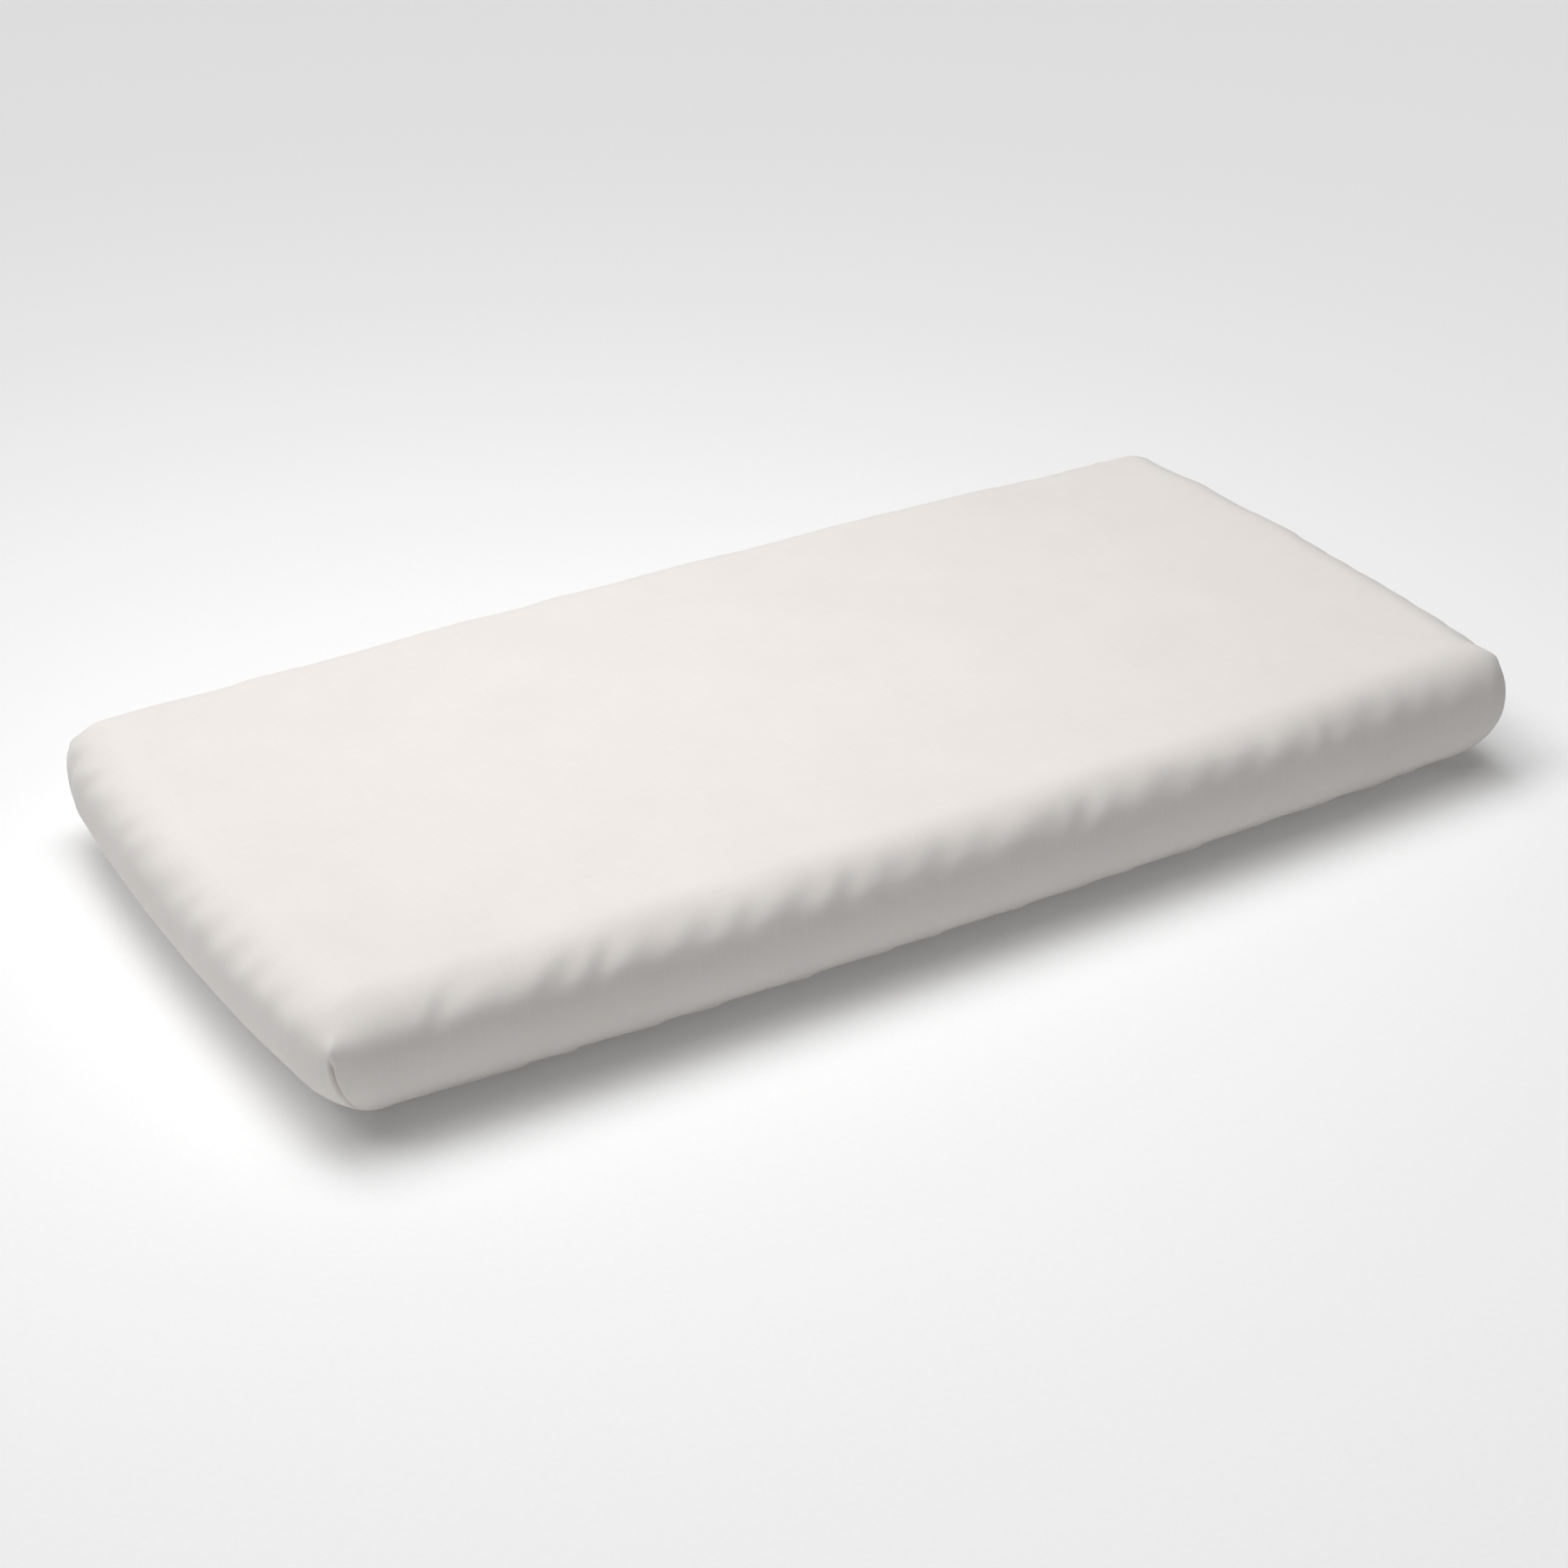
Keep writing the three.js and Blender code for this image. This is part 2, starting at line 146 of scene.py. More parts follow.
def quarter(centre_inset, centre_z, radius, start, end, step=CLOTH_STEP):
    """Rows of a quarter round in the section, as (inset, height), without its last point."""
    count = max(2, round(math.pi / 2 * radius / step))
    turns = [math.radians(start + (end - start) * i / count) for i in range(count)]
    return [(centre_inset - radius * math.cos(t), centre_z + radius * math.sin(t)) for t in turns]


def straight(start, end, z, step=CLOTH_STEP, last=False):
    """Rows of a level stretch in the section, from one inset to another."""
    count = max(1, round(abs(end - start) / step))
    return [(start + (end - start) * i / count, z) for i in range(count + last)]


def rings(section, steps=COVER_STEPS):
    """The rows of a section laid round the pad, as an array of rows, columns and coordinates."""
    rows = np.zeros((len(section), 2 * sum(steps), 3))
    for row, (inset, z, corner) in zip(rows, section):
        row[:, :2] = outline(inset, corner, steps)
        row[:, 2] = z
    return rows


def around(ring):
    """The distance round a closed ring at each of its points, and its whole length."""
    closed = run_along(np.vstack([ring, ring[:1]]))
    return closed[:-1], closed[-1]


def smooth_step(value, start, end):
    share = np.clip((value - start) / (end - start), 0, 1)
    return share * share * (3 - 2 * share)


# ---- The cover's skirts, gathered by their elastic ----

COLUMNS = 2 * sum(COVER_STEPS)
DARTS = [0, COVER_STEPS[0], sum(COVER_STEPS), sum(COVER_STEPS) + COVER_STEPS[0]]
MIDDLE = COVER_STEPS[0] // 2  # the column at the middle of the front

TUCK_HEIGHT = 1.7 * MM  # middle of the gathers under the pad
GATHER = 13 * MM  # length of one gather at the hem
GATHER_HEIGHT = 1.1 * MM
SPARE_AT_HEM = 0.10  # how much longer the cloth is than the hem it is drawn into
SPARE_AT_SIDE = 0.006
SEED = 7

UPPER = straight(TOP_REACH, TOP_ROUND, HEIGHT) + quarter(TOP_ROUND, HEIGHT - TOP_ROUND, TOP_ROUND, 90, 0)
UPPER.append((0, HEIGHT - TOP_ROUND))
LOWER = (
    quarter(UNDER_ROUND, UNDER_ROUND, UNDER_ROUND, 0, -90) + straight(UNDER_ROUND, HEM_REACH, 0, last=True)
)


def under_corner(inset):
    """Plan radius of the corners under the pad, which opens out towards the hem."""
    share = np.clip((inset - UNDER_ROUND) / (HEM_REACH - UNDER_ROUND), 0, 1)
    return float(CORNER + (HEM_CORNER - CORNER) * share)


SKIRT = [(inset, z, max(CORNER - inset, TOP_CORNER)) for inset, z in UPPER]
SKIRT += [(inset, max(z, TUCK_HEIGHT), under_corner(inset)) for inset, z in LOWER]


def surface_normals(rows):
    """Outward normals of rows of points that run down the pad."""
    along = np.roll(rows, -1, axis=1) - np.roll(rows, 1, axis=1)
    down = np.gradient(rows, axis=0)
    normals = np.cross(down, along)
    return normals / np.linalg.norm(normals, axis=2, keepdims=True)


def uneven_wave(place, length, spacing, seed, least=0.7):
    """Waves round a closed line, about a spacing long and 1 high.

    They are uneven, as sewn and pulled cloth makes them."""
    rng = np.random.default_rng(seed)
    count = round(length / spacing)
    knots = (np.arange(count) + rng.uniform(-0.28, 0.28, count)) / count * length
    heights = rng.uniform(least, 1.1, count)
    knots = np.concatenate([knots - length, knots, knots + length])
    phase = np.interp(place, knots, np.arange(-count, 2 * count) * 2 * math.pi)
    height = np.interp(place, knots, np.tile(heights, 3))
    return height * np.sin(phase)


def gathered_start(rows):
    """The skirts before they are simulated: the hem's gathers, fading out towards the side."""
    wave = GATHER_HEIGHT * uneven_wave(*around(rows[-1, :, :2]), GATHER, SEED)
    normals = surface_normals(rows)
    started = rows.copy()
    for index, (inset, z, corner) in enumerate(SKIRT):
        if index < len(UPPER):
            continue
        share = smooth_step(inset, 8 * MM, HEM_REACH)
        started[index] += normals[index] * (wave * share)[:, None]
    return started


def cut_shape(rows):
    """The skirts as they were cut and sewn, longer round than the pad wherever the elastic gathers them."""
    cut = rows.copy()
    for index, (inset, z, corner) in enumerate(SKIRT[:len(UPPER)]):
        cut[index, :, :2] *= 1 + SPARE_AT_SIDE * np.clip((TOP_ROUND - inset) / TOP_ROUND, 0, 1)
    lengths = [around(row[:, :2])[1] for row in rows]
    widest = lengths[len(UPPER)]
    cut_inset = 0
    for index in range(len(UPPER), len(rows)):
        share = np.clip(SKIRT[index][0] / HEM_REACH, 0, 1) ** 0.8
        spare = SPARE_AT_SIDE + (SPARE_AT_HEM - SPARE_AT_SIDE) * share
        step = np.linalg.norm(rows[index] - rows[index - 1], axis=1).mean()
        moved_in = (widest - lengths[index] * (1 + spare)) / 8 - cut_inset
        cut_inset += moved_in
        cut[index, :, :2] = outline(cut_inset, CORNER)
        if index > len(UPPER):
            cut[index, :, 2] = cut[index - 1, :, 2] - math.sqrt(max(step ** 2 - moved_in ** 2, 0))
    return cut


def pad_stand_in():
    """The closed shape of the foam in its casing, which the cloth lies against."""
    section = [
        (TOP_ROUND - (TOP_ROUND - CASING_DEPTH) * math.cos(math.radians(turn)),
         HEIGHT - TOP_ROUND + (TOP_ROUND - CASING_DEPTH) * math.sin(math.radians(turn)))
        for turn in np.linspace(90, 0, 13)
    ]
    upper = len(section)
    section += [
        (CASING_DEPTH + CASING_ROUND * (1 - math.cos(math.radians(turn))),
         CASING_FLOOR + CASING_ROUND * (1 + math.sin(math.radians(turn))))
        for turn in np.linspace(0, -90, 13)
    ]
    points, faces = [], []
    for index, (inset, z) in enumerate(section):
        corner = PAD_CORNER - 3 * MM - min(inset, CASING_DEPTH)
        if index < upper:
            corner = max(PAD_CORNER - 3 * MM - inset, TOP_CORNER + 2 * MM)
        points += [(x, y, z) for x, y in outline(inset, corner, (60, 30))]
    columns = len(points) // len(section)
    faces += tube_faces(len(section), columns)
    faces.append(list(range(columns)))
    faces.append(list(range(len(points) - columns, len(points)))[::-1])
    return points, faces


def tube_faces(rows, columns, closed=True):
    """Four-sided faces between rows of points that run down the outside of something."""
    faces = []
    for row in range(rows - 1):
        for column in range(columns if closed else columns - 1):
            after = (column + 1) % columns
            start = row * columns
            faces.append((start + column, start + columns + column, start + columns + after, start + after))
    return faces


def new_object(name, points, faces, smooth=True):
    mesh = bpy.data.meshes.new(name)
    mesh.from_pydata([tuple(point) for point in np.asarray(points, float).reshape(-1, 3)], [], faces)
    mesh.polygons.foreach_set("use_smooth", [smooth] * len(mesh.polygons))
    mesh.update()
    piece = bpy.data.objects.new(name, mesh)
    bpy.context.scene.collection.objects.link(piece)
    return piece


def points_of(piece):
    """The points of a piece as its modifiers leave it."""
    evaluated = piece.evaluated_get(bpy.context.evaluated_depsgraph_get())
    mesh = evaluated.to_mesh()
    points = np.zeros(len(mesh.vertices) * 3)
    mesh.vertices.foreach_get("co", points)
    evaluated.to_mesh_clear()
    return points.reshape(-1, 3)


def hard_surface(piece, friction):
    """Makes cloth lie against a piece in the simulation."""
    piece.modifiers.new("Collision", "COLLISION")
    piece.collision.thickness_outer = 0.4 * MM
    piece.collision.thickness_inner = 20 * MM
    piece.collision.cloth_friction = friction


def simulate(start, cut, frames=20):
    """Lets the gathered skirts settle round the pad, held at the top and along the hem."""
    cloth = new_object("cloth_simulation", start, tube_faces(len(start), COLUMNS))
    cloth.shape_key_add(name="Basis")
    cloth.shape_key_add(name="cut").data.foreach_set("co", cut.reshape(-1))
    held = start[:, :, 2] > HEIGHT - 12 * MM
    held[-3:] = True
    group = cloth.vertex_groups.new(name="held")
    group.add(np.flatnonzero(held.reshape(-1)).tolist(), 1, "REPLACE")
    stand_in = new_object("cloth_stand_in", *pad_stand_in())
    ground = new_object("cloth_ground", [(-1, -1, 0), (1, -1, 0), (1, 1, 0), (-1, 1, 0)], [(0, 1, 2, 3)])
    hard_surface(stand_in, 5)
    hard_surface(ground, 1)

    modifier = cloth.modifiers.new("Cloth", "CLOTH")
    cotton = modifier.settings
    cotton.quality = 6
    cotton.mass = 0.15
    cotton.air_damping = 2
    cotton.time_scale = 2
    cotton.tension_stiffness = 15
    cotton.compression_stiffness = 15
    cotton.shear_stiffness = 4
    cotton.bending_stiffness = 0.3
    cotton.vertex_group_mass = "held"
    cotton.rest_shape_key = cloth.data.shape_keys.key_blocks["cut"]
    cotton.effector_weights.gravity = 0
    modifier.collision_settings.distance_min = 0.8 * MM
    modifier.collision_settings.collision_quality = 2
    modifier.point_cache.frame_start = 1
    modifier.point_cache.frame_end = frames + 1
    for number in range(1, frames + 1):
        bpy.context.scene.frame_set(number)
    settled = points_of(cloth).reshape(start.shape)
    bpy.context.scene.frame_set(1)
    for helper in (cloth, stand_in, ground):
        bpy.data.objects.remove(helper)
    return settled


# ---- How the cloth really lies: full shoulders, slack, folds at the foot, and the four darts ----

SQUARENESS = 0.5 * MM  # how far the shoulder stands out from a true quarter round
FULLNESS = 3.4 * MM  # and how much further near the front left corner
SHOULDER_SLACK = 1.2 * MM
SLACK_SLANT = 0.5
FOOT_FOLD = 2.2 * MM
FOOT_FOLD_SPACING = 47 * MM
DART_TOPS = np.array([58, 71, 64, 64]) * MM  # height where each dart starts, from the front left one round
DART_DEPTH = 3.2 * MM
DART_WIDTH = 0.8 * MM
DART_FLATNESS = 0.55  # how far the cloth beside a dart goes from round towards flat
DART_TURN = math.radians(28)  # how far round its corner each dart lies from the long side
DART_LEAN = 9 * MM  # how far its foot lies towards the long side
DART_SIDES = np.array([1, -1, 1, -1])  # which way round the pad the long side lies from each dart


def finer(rows):
    """Adds a row half-way between each two rows of the shoulder, on a smooth curve through them."""
    before, start, end, after = (rows[FIRST_FINE + shift:LAST_FINE + shift] for shift in (-1, 0, 1, 2))
    between = (9 * (start + end) - before - after) / 16
    shoulder = np.stack([start, between], axis=1).reshape(-1, *rows.shape[1:])
    return np.concatenate([rows[:FIRST_FINE], shoulder, rows[LAST_FINE:]])


FIRST_FINE = 8
LAST_FINE = len(UPPER) + 6
INSET, LEVEL = finer(np.array(SKIRT))[:, :2].T  # of every row of the finished skirts
TILT = np.degrees(np.arcsin(np.clip((LEVEL - HEIGHT + TOP_ROUND) / TOP_ROUND, 0, 1)))
DEPTH = np.where((INSET < UNDER_ROUND) | (LEVEL > HEIGHT / 2), LEVEL, -INSET)
WIDEST = int(np.argmin(INSET))


def section_run(rows):
    """How far down the cloth each row is from the first, along the middle of the front."""
    return run_along(rows[:, MIDDLE])


def bell(value, centre, reach):
    """1 at the centre, falling smoothly to nothing on both sides of it."""
    return np.exp(-(((value - centre) / reach) ** 2))


def slack(rows):
    """Soft lobes along the shoulder, leaning a little, where the top's cloth turns down the sides."""
    place, length = around(rows[WIDEST, :, :2])
    leaning = place[None, :] + SLACK_SLANT * (62 * MM - LEVEL[:, None])
    wave = 0.6 * uneven_wave(leaning, length, 31 * MM, SEED + 1, 0.4)
    wave += 0.5 * uneven_wave(leaning, length, 74 * MM, SEED + 2, 0.3)
    wave *= bell(TILT, 34, 19)[:, None]
    long_wave = 0.5 * uneven_wave(place, length, 105 * MM, SEED + 3, 0.3)
    wave += long_wave[None, :] * bell(TILT, 55, 22)[:, None]
    wave[LEVEL < HEIGHT - TOP_ROUND] = 0
    return SHOULDER_SLACK * wave


def fullness(rows):
    """The foam fills the shoulder out everywhere, and most of all near the front left corner."""
    away = ((rows[:, :, 0] + LENGTH / 2) / (260 * MM)) ** 2 + ((rows[:, :, 1] + WIDTH / 2) / (120 * MM)) ** 2
    round_part = np.sin(np.radians(2 * TILT)) ** 2
    low_part = smooth_step(LEVEL, 18 * MM, 60 * MM) * (1 - smooth_step(LEVEL, 60 * MM, 80.5 * MM))
    low_part[WIDEST + 12:] = 0
    return SQUARENESS * round_part[:, None] + FULLNESS * low_part[:, None] * np.exp(-away)


def foot_folds(rows):
    """Low pleats where the gathered cloth turns in under the pad, each with one steep side."""
    place, length = around(rows[WIDEST, :, :2])
    rng = np.random.default_rng(SEED + 3)
    count = round(length / FOOT_FOLD_SPACING)
    knots = (np.arange(count) + rng.uniform(-0.3, 0.3, count)) / count * length
    heights = rng.uniform(0.3, 1.1, count)
    knots = np.concatenate([knots - length, knots, knots + length])
    turn = np.interp(place, knots, np.arange(-count, 2 * count))
    number = np.floor(turn).astype(int)
    share = turn - number
    fold = share ** 2.2 * (1 - smooth_step(share, 0.92, 1.0)) * heights[number % count]
    band = 1 - smooth_step(LEVEL, 3 * MM, 24 * MM)
    band *= 1 - smooth_step(INSET, 30 * MM, 60 * MM)
    band[LEVEL > HEIGHT / 2] = 0
    return FOOT_FOLD * band[:, None] * fold[None, :]


def from_darts(ring):
    """Which dart is nearest to each column of a ring, and how far off, more than 0 towards the long side."""
    place, length = around(ring)
    gaps = (place[:, None] - place[DARTS][None, :] + length / 2) % length - length / 2
    nearest = np.abs(gaps).argmin(axis=1)
    return nearest, gaps[np.arange(len(ring)), nearest] * DART_SIDES[nearest]


def leaning_darts(rows):
    """Slides the cloth round each corner, so that its dart leans towards the long side."""
    moved = rows.copy()
    lean = DART_LEAN * (1 - smooth_step(DEPTH, 0, 58 * MM)) * smooth_step(DEPTH, -HEM_REACH, -HEM_REACH / 2)
    for index in np.flatnonzero(lean > 0.05 * MM):
        place, length = around(rows[index, :, :2])
        nearest, gap = from_darts(rows[index, :, :2])
        target = (place + DART_SIDES[nearest] * lean[index] * bell(gap, 0, 45 * MM)) % length
        closed = np.vstack([rows[index], rows[index, :1]])
        for axis in range(3):
            moved[index, :, axis] = np.interp(target, np.append(place, length), closed[:, axis])
    return moved


def gable(gap):
    """How far cloth stands out from a round corner when it is drawn flat on both sides of its dart."""
    turn = DART_TURN - gap / CORNER
    flat = math.atan(1 - math.tan(DART_TURN))
    long_side = CORNER / np.cos(np.clip(turn, 0, DART_TURN)) - CORNER
    end_turn = np.clip(turn, DART_TURN, math.pi / 2) - math.pi / 2 + flat
    end = CORNER * math.cos(flat) / np.cos(end_turn) - CORNER
    return np.where(gap > 0, long_side, end)


def darts(rows):
    """A sewn valley at each corner, with flat cloth on both sides of it, and a pucker where it starts."""
    push = np.zeros(rows.shape[:2])
    for index, row in enumerate(rows):
        nearest, gap = from_darts(row[:, :2])
        under_tip = DEPTH[index] - DART_TOPS[nearest]
        sewn = 1 - smooth_step(under_tip, -5 * MM, 0)
        flat = (1 - smooth_step(under_tip, -1 * MM, 14 * MM)) * smooth_step(DEPTH[index], 0, 26 * MM)
        push[index] += DART_FLATNESS * flat * gable(gap)
        push[index] -= sewn * DART_DEPTH * bell(gap, 0, DART_WIDTH)
        push[index] += 0.9 * MM * bell(under_tip, 2 * MM, 4 * MM) * bell(gap, 0, 3.5 * MM)
    return push


def cover_rows():
    """The cover's skirts as they lie on the pad, from the edge of the top grid to the hem."""
    rows = rings(SKIRT)
    start = gathered_start(rows)
    settled = simulate(start, cut_shape(rows))
    rows = finer(rows)
    settled = finer(settled)
    settled += (rows - settled) * smooth_step(LEVEL, 50 * MM, 68 * MM)[:, None, None]
    settled = leaning_darts(settled)
    push = np.maximum(slack(rows), -0.9 * MM) + fullness(rows) + foot_folds(rows) + darts(settled)
    shaped = settled + surface_normals(settled) * push[:, :, None]
    shaped[:, :, 2] = np.maximum(shaped[:, :, 2], 0.3 * MM)
    shaped[0] = rows[0]
    return shaped


# ---- The cover as one sheet of cloth ----

def turned_hem(rows):
    """The hem folded up and back over its elastic, as more rows."""
    last = rows[-1]
    turned = []
    for inset, rise in ((0.7, 1.0), (0, 2.1), (-5, 2.2), (-10, 2.2), (-15, 2.1)):
        row = last.copy()
        row[:, :2] = outline(HEM_REACH + inset * MM, under_corner(HEM_REACH + inset * MM))
        row[:, 2] += rise * MM
        turned.append(row)
    return np.array(turned)


def top_grid(edge, steps=COVER_STEPS):
    """Points of the flat top, rows along Y by columns along X, filled in from the ring round it."""
    long_steps, short_steps = steps
    front = edge[:long_steps + 1]
    right = edge[long_steps:long_steps + short_steps + 1]
    back = edge[long_steps + short_steps:2 * long_steps + short_steps + 1][::-1]
    left = np.vstack([edge[2 * long_steps + short_steps:], edge[:1]])[::-1]
    across = ((front[:, 0] - front[0, 0]) / (front[-1, 0] - front[0, 0]))[None, :, None]
    deep = ((left[:, 1] - left[0, 1]) / (left[-1, 1] - left[0, 1]))[:, None, None]
    sides = (1 - deep) * front[None] + deep * back[None]
    ends = (1 - across) * left[:, None] + across * right[:, None]
    corners = (1 - deep) * ((1 - across) * front[0] + across * front[-1])
    corners = corners + deep * ((1 - across) * back[0] + across * back[-1])
    return sides + ends - corners


def grid_numbers(first, steps=COVER_STEPS):
    """Point numbers of the top grid: its border belongs to the first row round it."""
    long_steps, short_steps = steps
    columns = 2 * (long_steps + short_steps)
    numbers = np.zeros((short_steps + 1, long_steps + 1), int)
    numbers[0] = np.arange(long_steps + 1)
    numbers[:, -1] = long_steps + np.arange(short_steps + 1)
    numbers[-1] = 2 * long_steps + short_steps - np.arange(long_steps + 1)
    numbers[:, 0] = (columns - np.arange(short_steps + 1)) % columns
    inner = (short_steps - 1) * (long_steps - 1)
    numbers[1:-1, 1:-1] = first + np.arange(inner).reshape(short_steps - 1, long_steps - 1)
    return numbers


def quads(numbers):
    corners = [numbers[:-1, :-1], numbers[:-1, 1:], numbers[1:, 1:], numbers[1:, :-1]]
    return np.stack(corners, axis=2).reshape(-1, 4)


def quad_places(flat):
    """The same four corners as quads() gives, taken from a grid of places."""
    return np.stack([flat[:-1, :-1], flat[:-1, 1:], flat[1:, 1:], flat[1:, :-1]], axis=2).reshape(-1, 4, 2)


def skirt_sides(rows):
    """For each of the four skirts: its point numbers, and where those points lie in the cut cloth."""
    down = section_run(rows)[:, None]
    spans = zip(DARTS, DARTS[1:] + [COLUMNS], ((0, -1), (1, 0), (0, 1), (-1, 0)))
    for start, end, (out_x, out_y) in spans:
        columns = np.arange(start, end + 1) % COLUMNS
        numbers = np.arange(len(rows))[:, None] * COLUMNS + columns[None, :]
        edge = rows[0, columns, :2]
        x = edge[None, :, 0] + out_x * down if out_x else rows[:, columns, 0]
        y = edge[None, :, 1] + out_y * down if out_y else rows[:, columns, 1]
        yield numbers.T, np.stack([x, y], axis=2).transpose(1, 0, 2)


def gentle_top(points):
    """Lets the top swell and dip a little, as quilted foam under taut cloth does."""
    x, y = points[:, 0], points[:, 1]
    rng = np.random.default_rng(SEED + 5)
    swell = np.zeros(len(points))
    for turn in rng.uniform(0, math.pi, 9):
        length = rng.uniform(90, 240) * MM
        place = (x * math.cos(turn) + y * math.sin(turn)) / length
        swell += np.sin(2 * math.pi * place + rng.uniform(0, 2 * math.pi))
    crown = np.clip(1 - (2 * x / LENGTH) ** 2, 0, 1) * np.clip(1 - (2 * y / WIDTH) ** 2, 0, 1)
    flatness = smooth_step(points[:, 2], HEIGHT - 12 * MM, HEIGHT)
    points[:, 2] += flatness * (0.16 * MM * swell + 1.2 * MM * crown)


def make_cover():
    skirts = cover_rows()
    rows = np.concatenate([skirts, turned_hem(skirts)])
    grid = top_grid(rows[0])
    numbers = grid_numbers(rows.shape[0] * COLUMNS)
    points = np.concatenate([rows.reshape(-1, 3), grid[1:-1, 1:-1].reshape(-1, 3)])
    gentle_top(points)

    faces = [quads(numbers)]
    places = [quad_places(grid[:, :, :2])]
    for side_numbers, side_places in skirt_sides(rows):
        faces.append(quads(side_numbers))
        places.append(quad_places(side_places))
    faces = np.concatenate(faces)
    cover = new_object("cover", points, faces.tolist())
    cloth_map = cover.data.uv_layers.new(name="cloth")
    cloth_map.data.foreach_set("uv", np.concatenate(places).reshape(-1))
    crease_darts(cover.data, len(rows))
    return cover, rows


def crease_darts(mesh, row_count):
    """Breaks the smooth shading along the four sewn lines."""
    ends = np.zeros(len(mesh.edges) * 2, int)
    mesh.edges.foreach_get("vertices", ends)
    ends = ends.reshape(-1, 2)
    same_column = ends[:, 0] % COLUMNS == ends[:, 1] % COLUMNS
    sharp_edges = np.zeros(len(ends), bool)
    for column, top in zip(DARTS, DART_TOPS):
        start = int(np.argmax(LEVEL < top - 3 * MM))
        on_skirts = (ends.max(axis=1) < row_count * COLUMNS) & (ends.min(axis=1) >= start * COLUMNS)
        sharp_edges |= on_skirts & same_column & (ends[:, 0] % COLUMNS == column)
    sharp = mesh.attributes.new("sharp_edge", "BOOLEAN", "EDGE")
    sharp.data.foreach_set("value", sharp_edges)


# ---- Elastic, stitching and label ----

def make_elastic(lines):
    """The flat elastic inside the hem, which takes the hem's waves."""
    wave = lines[len(LEVEL) - 1, :, 2]
    rows = []
    for inset, lift in ((76, 0.75), (67, 0.75), (67, 1.35), (76, 1.35), (76, 0.75)):
        ring = outline(inset * MM, under_corner(inset * MM))
        rows.append(np.column_stack([ring, wave + lift * MM]))
    return new_object("cover_elastic", np.concatenate(rows), tube_faces(len(rows), COLUMNS), smooth=False)


def stitch_points(start, end, radius, sides=6):
    """One stitch of thread: a slim rounded bar from start to end."""
    along = end - start
    length = np.linalg.norm(along)
    along = along / length
    side = np.cross(along, (0, 0, 1) if abs(along[2]) < 0.9 else (1, 0, 0))
    side /= np.linalg.norm(side)
    other = np.cross(along, side)
    turns = np.arange(sides) * 2 * math.pi / sides
    ring = np.cos(turns)[:, None] * side + np.sin(turns)[:, None] * other
    points = [start]
    for share, width in ((0.06, 0.6), (0.25, 1.0), (0.75, 1.0), (0.94, 0.6)):
        points.extend(start + along * length * share + ring * radius * width)
    return points + [end]


def stitch_faces(first, sides=6):
    faces = []
    for side in range(sides):
        after = (side + 1) % sides
        faces.append((first, first + 1 + after, first + 1 + side))
        for ring in range(3):
            low = first + 1 + ring * sides
            faces.append((low + side, low + after, low + sides + after, low + sides + side))
        top = first + 1 + 3 * sides
        faces.append((top + side, top + after, first + 1 + 4 * sides))
    return faces


def make_stitching(name, line, stitch=2.6 * MM, gap=0.5 * MM, radius=0.22 * MM):
    """A row of stitches along a line of points."""
    line = np.asarray(line, float)
    run = run_along(line)
    count = int(run[-1] // (stitch + gap))
    points, faces = [], []
    for number in range(count):
        places = np.array([number, number + stitch / (stitch + gap)]) * run[-1] / count
        start, end = (
            np.array([np.interp(place, run, line[:, axis]) for axis in range(3)]) for place in places
        )
        faces += stitch_faces(len(points))
        points += stitch_points(start, end, radius)
    return new_object(name, points, faces)


def dart_line(lines, column, top):
    """The bottom of one dart's valley, from its top to the hem, just proud of the cloth."""
    sewn = np.flatnonzero(LEVEL < top)
    normals = surface_normals(lines[:len(LEVEL)])
    return lines[sewn, column] + normals[sewn, column] * 0.12 * MM


def hem_line(lines):
    """Where the hem is sewn down, under the inner edge of its fold."""
    row = int(np.argmin(np.where(LEVEL < HEIGHT / 2, np.abs(INSET - HEM_REACH + HEM_FOLD), 1)))
    line = lines[row] - np.array([0, 0, 0.12 * MM])
    return np.vstack([line, line[:1]])


LABEL_WAVE = 0.35 * MM
LABEL_TUCK = 12 * MM  # how much of the tape is caught above the hem
LABEL_CLIMB = 1.5 * MM


def make_label():
    """A folded satin tape sewn into the hem, lying under the casing with a slight curl."""
    low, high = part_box("cover_care_label")
    length = high.x - low.x + LABEL_TUCK
    across, along = 16, 20
    points = []
    for share_x in np.linspace(0, 1, along + 1):
        for share_y in np.linspace(0, 1, across + 1):
            x = high.x - length * (1 - share_x)
            y = low.y + (high.y - low.y) * share_y
            curl = LABEL_WAVE * math.sin(5 * share_x + 1.5 * share_y) * share_x
            climb = LABEL_CLIMB * (1 - smooth_step(x, low.x - 2 * MM, low.x + 6 * MM))
            points.append((x, y, (low.z + high.z) / 2 + curl + climb))
    faces = tube_faces(along + 1, across + 1, closed=False)
    label = new_object("care_label", points, faces)
    thicken(label, 0.35 * MM)
    return label


def thicken(piece, thickness):
    """Gives a single layer its thickness, evenly to both sides."""
    solid = piece.modifiers.new("Thickness", "SOLIDIFY")
    solid.thickness = thickness
    solid.offset = 0
    apply_modifiers(piece)


def apply_modifiers(piece):
    """Makes what a piece's modifiers show into its own mesh."""
    evaluated = piece.evaluated_get(bpy.context.evaluated_depsgraph_get())
    piece.data = bpy.data.meshes.new_from_object(evaluated)
    piece.modifiers.clear()


# ---- The foam and its wipe-clean casing ----

CASING_TURN = 48 * MM  # where the casing's side meets its base
FOAM_DEPTH = 2.9 * MM
FOAM_FLOOR = 8.2 * MM
SLOT_HALF = 7 * MM  # half the width of the opening that the zip closes
SLOT_END = 290 * MM


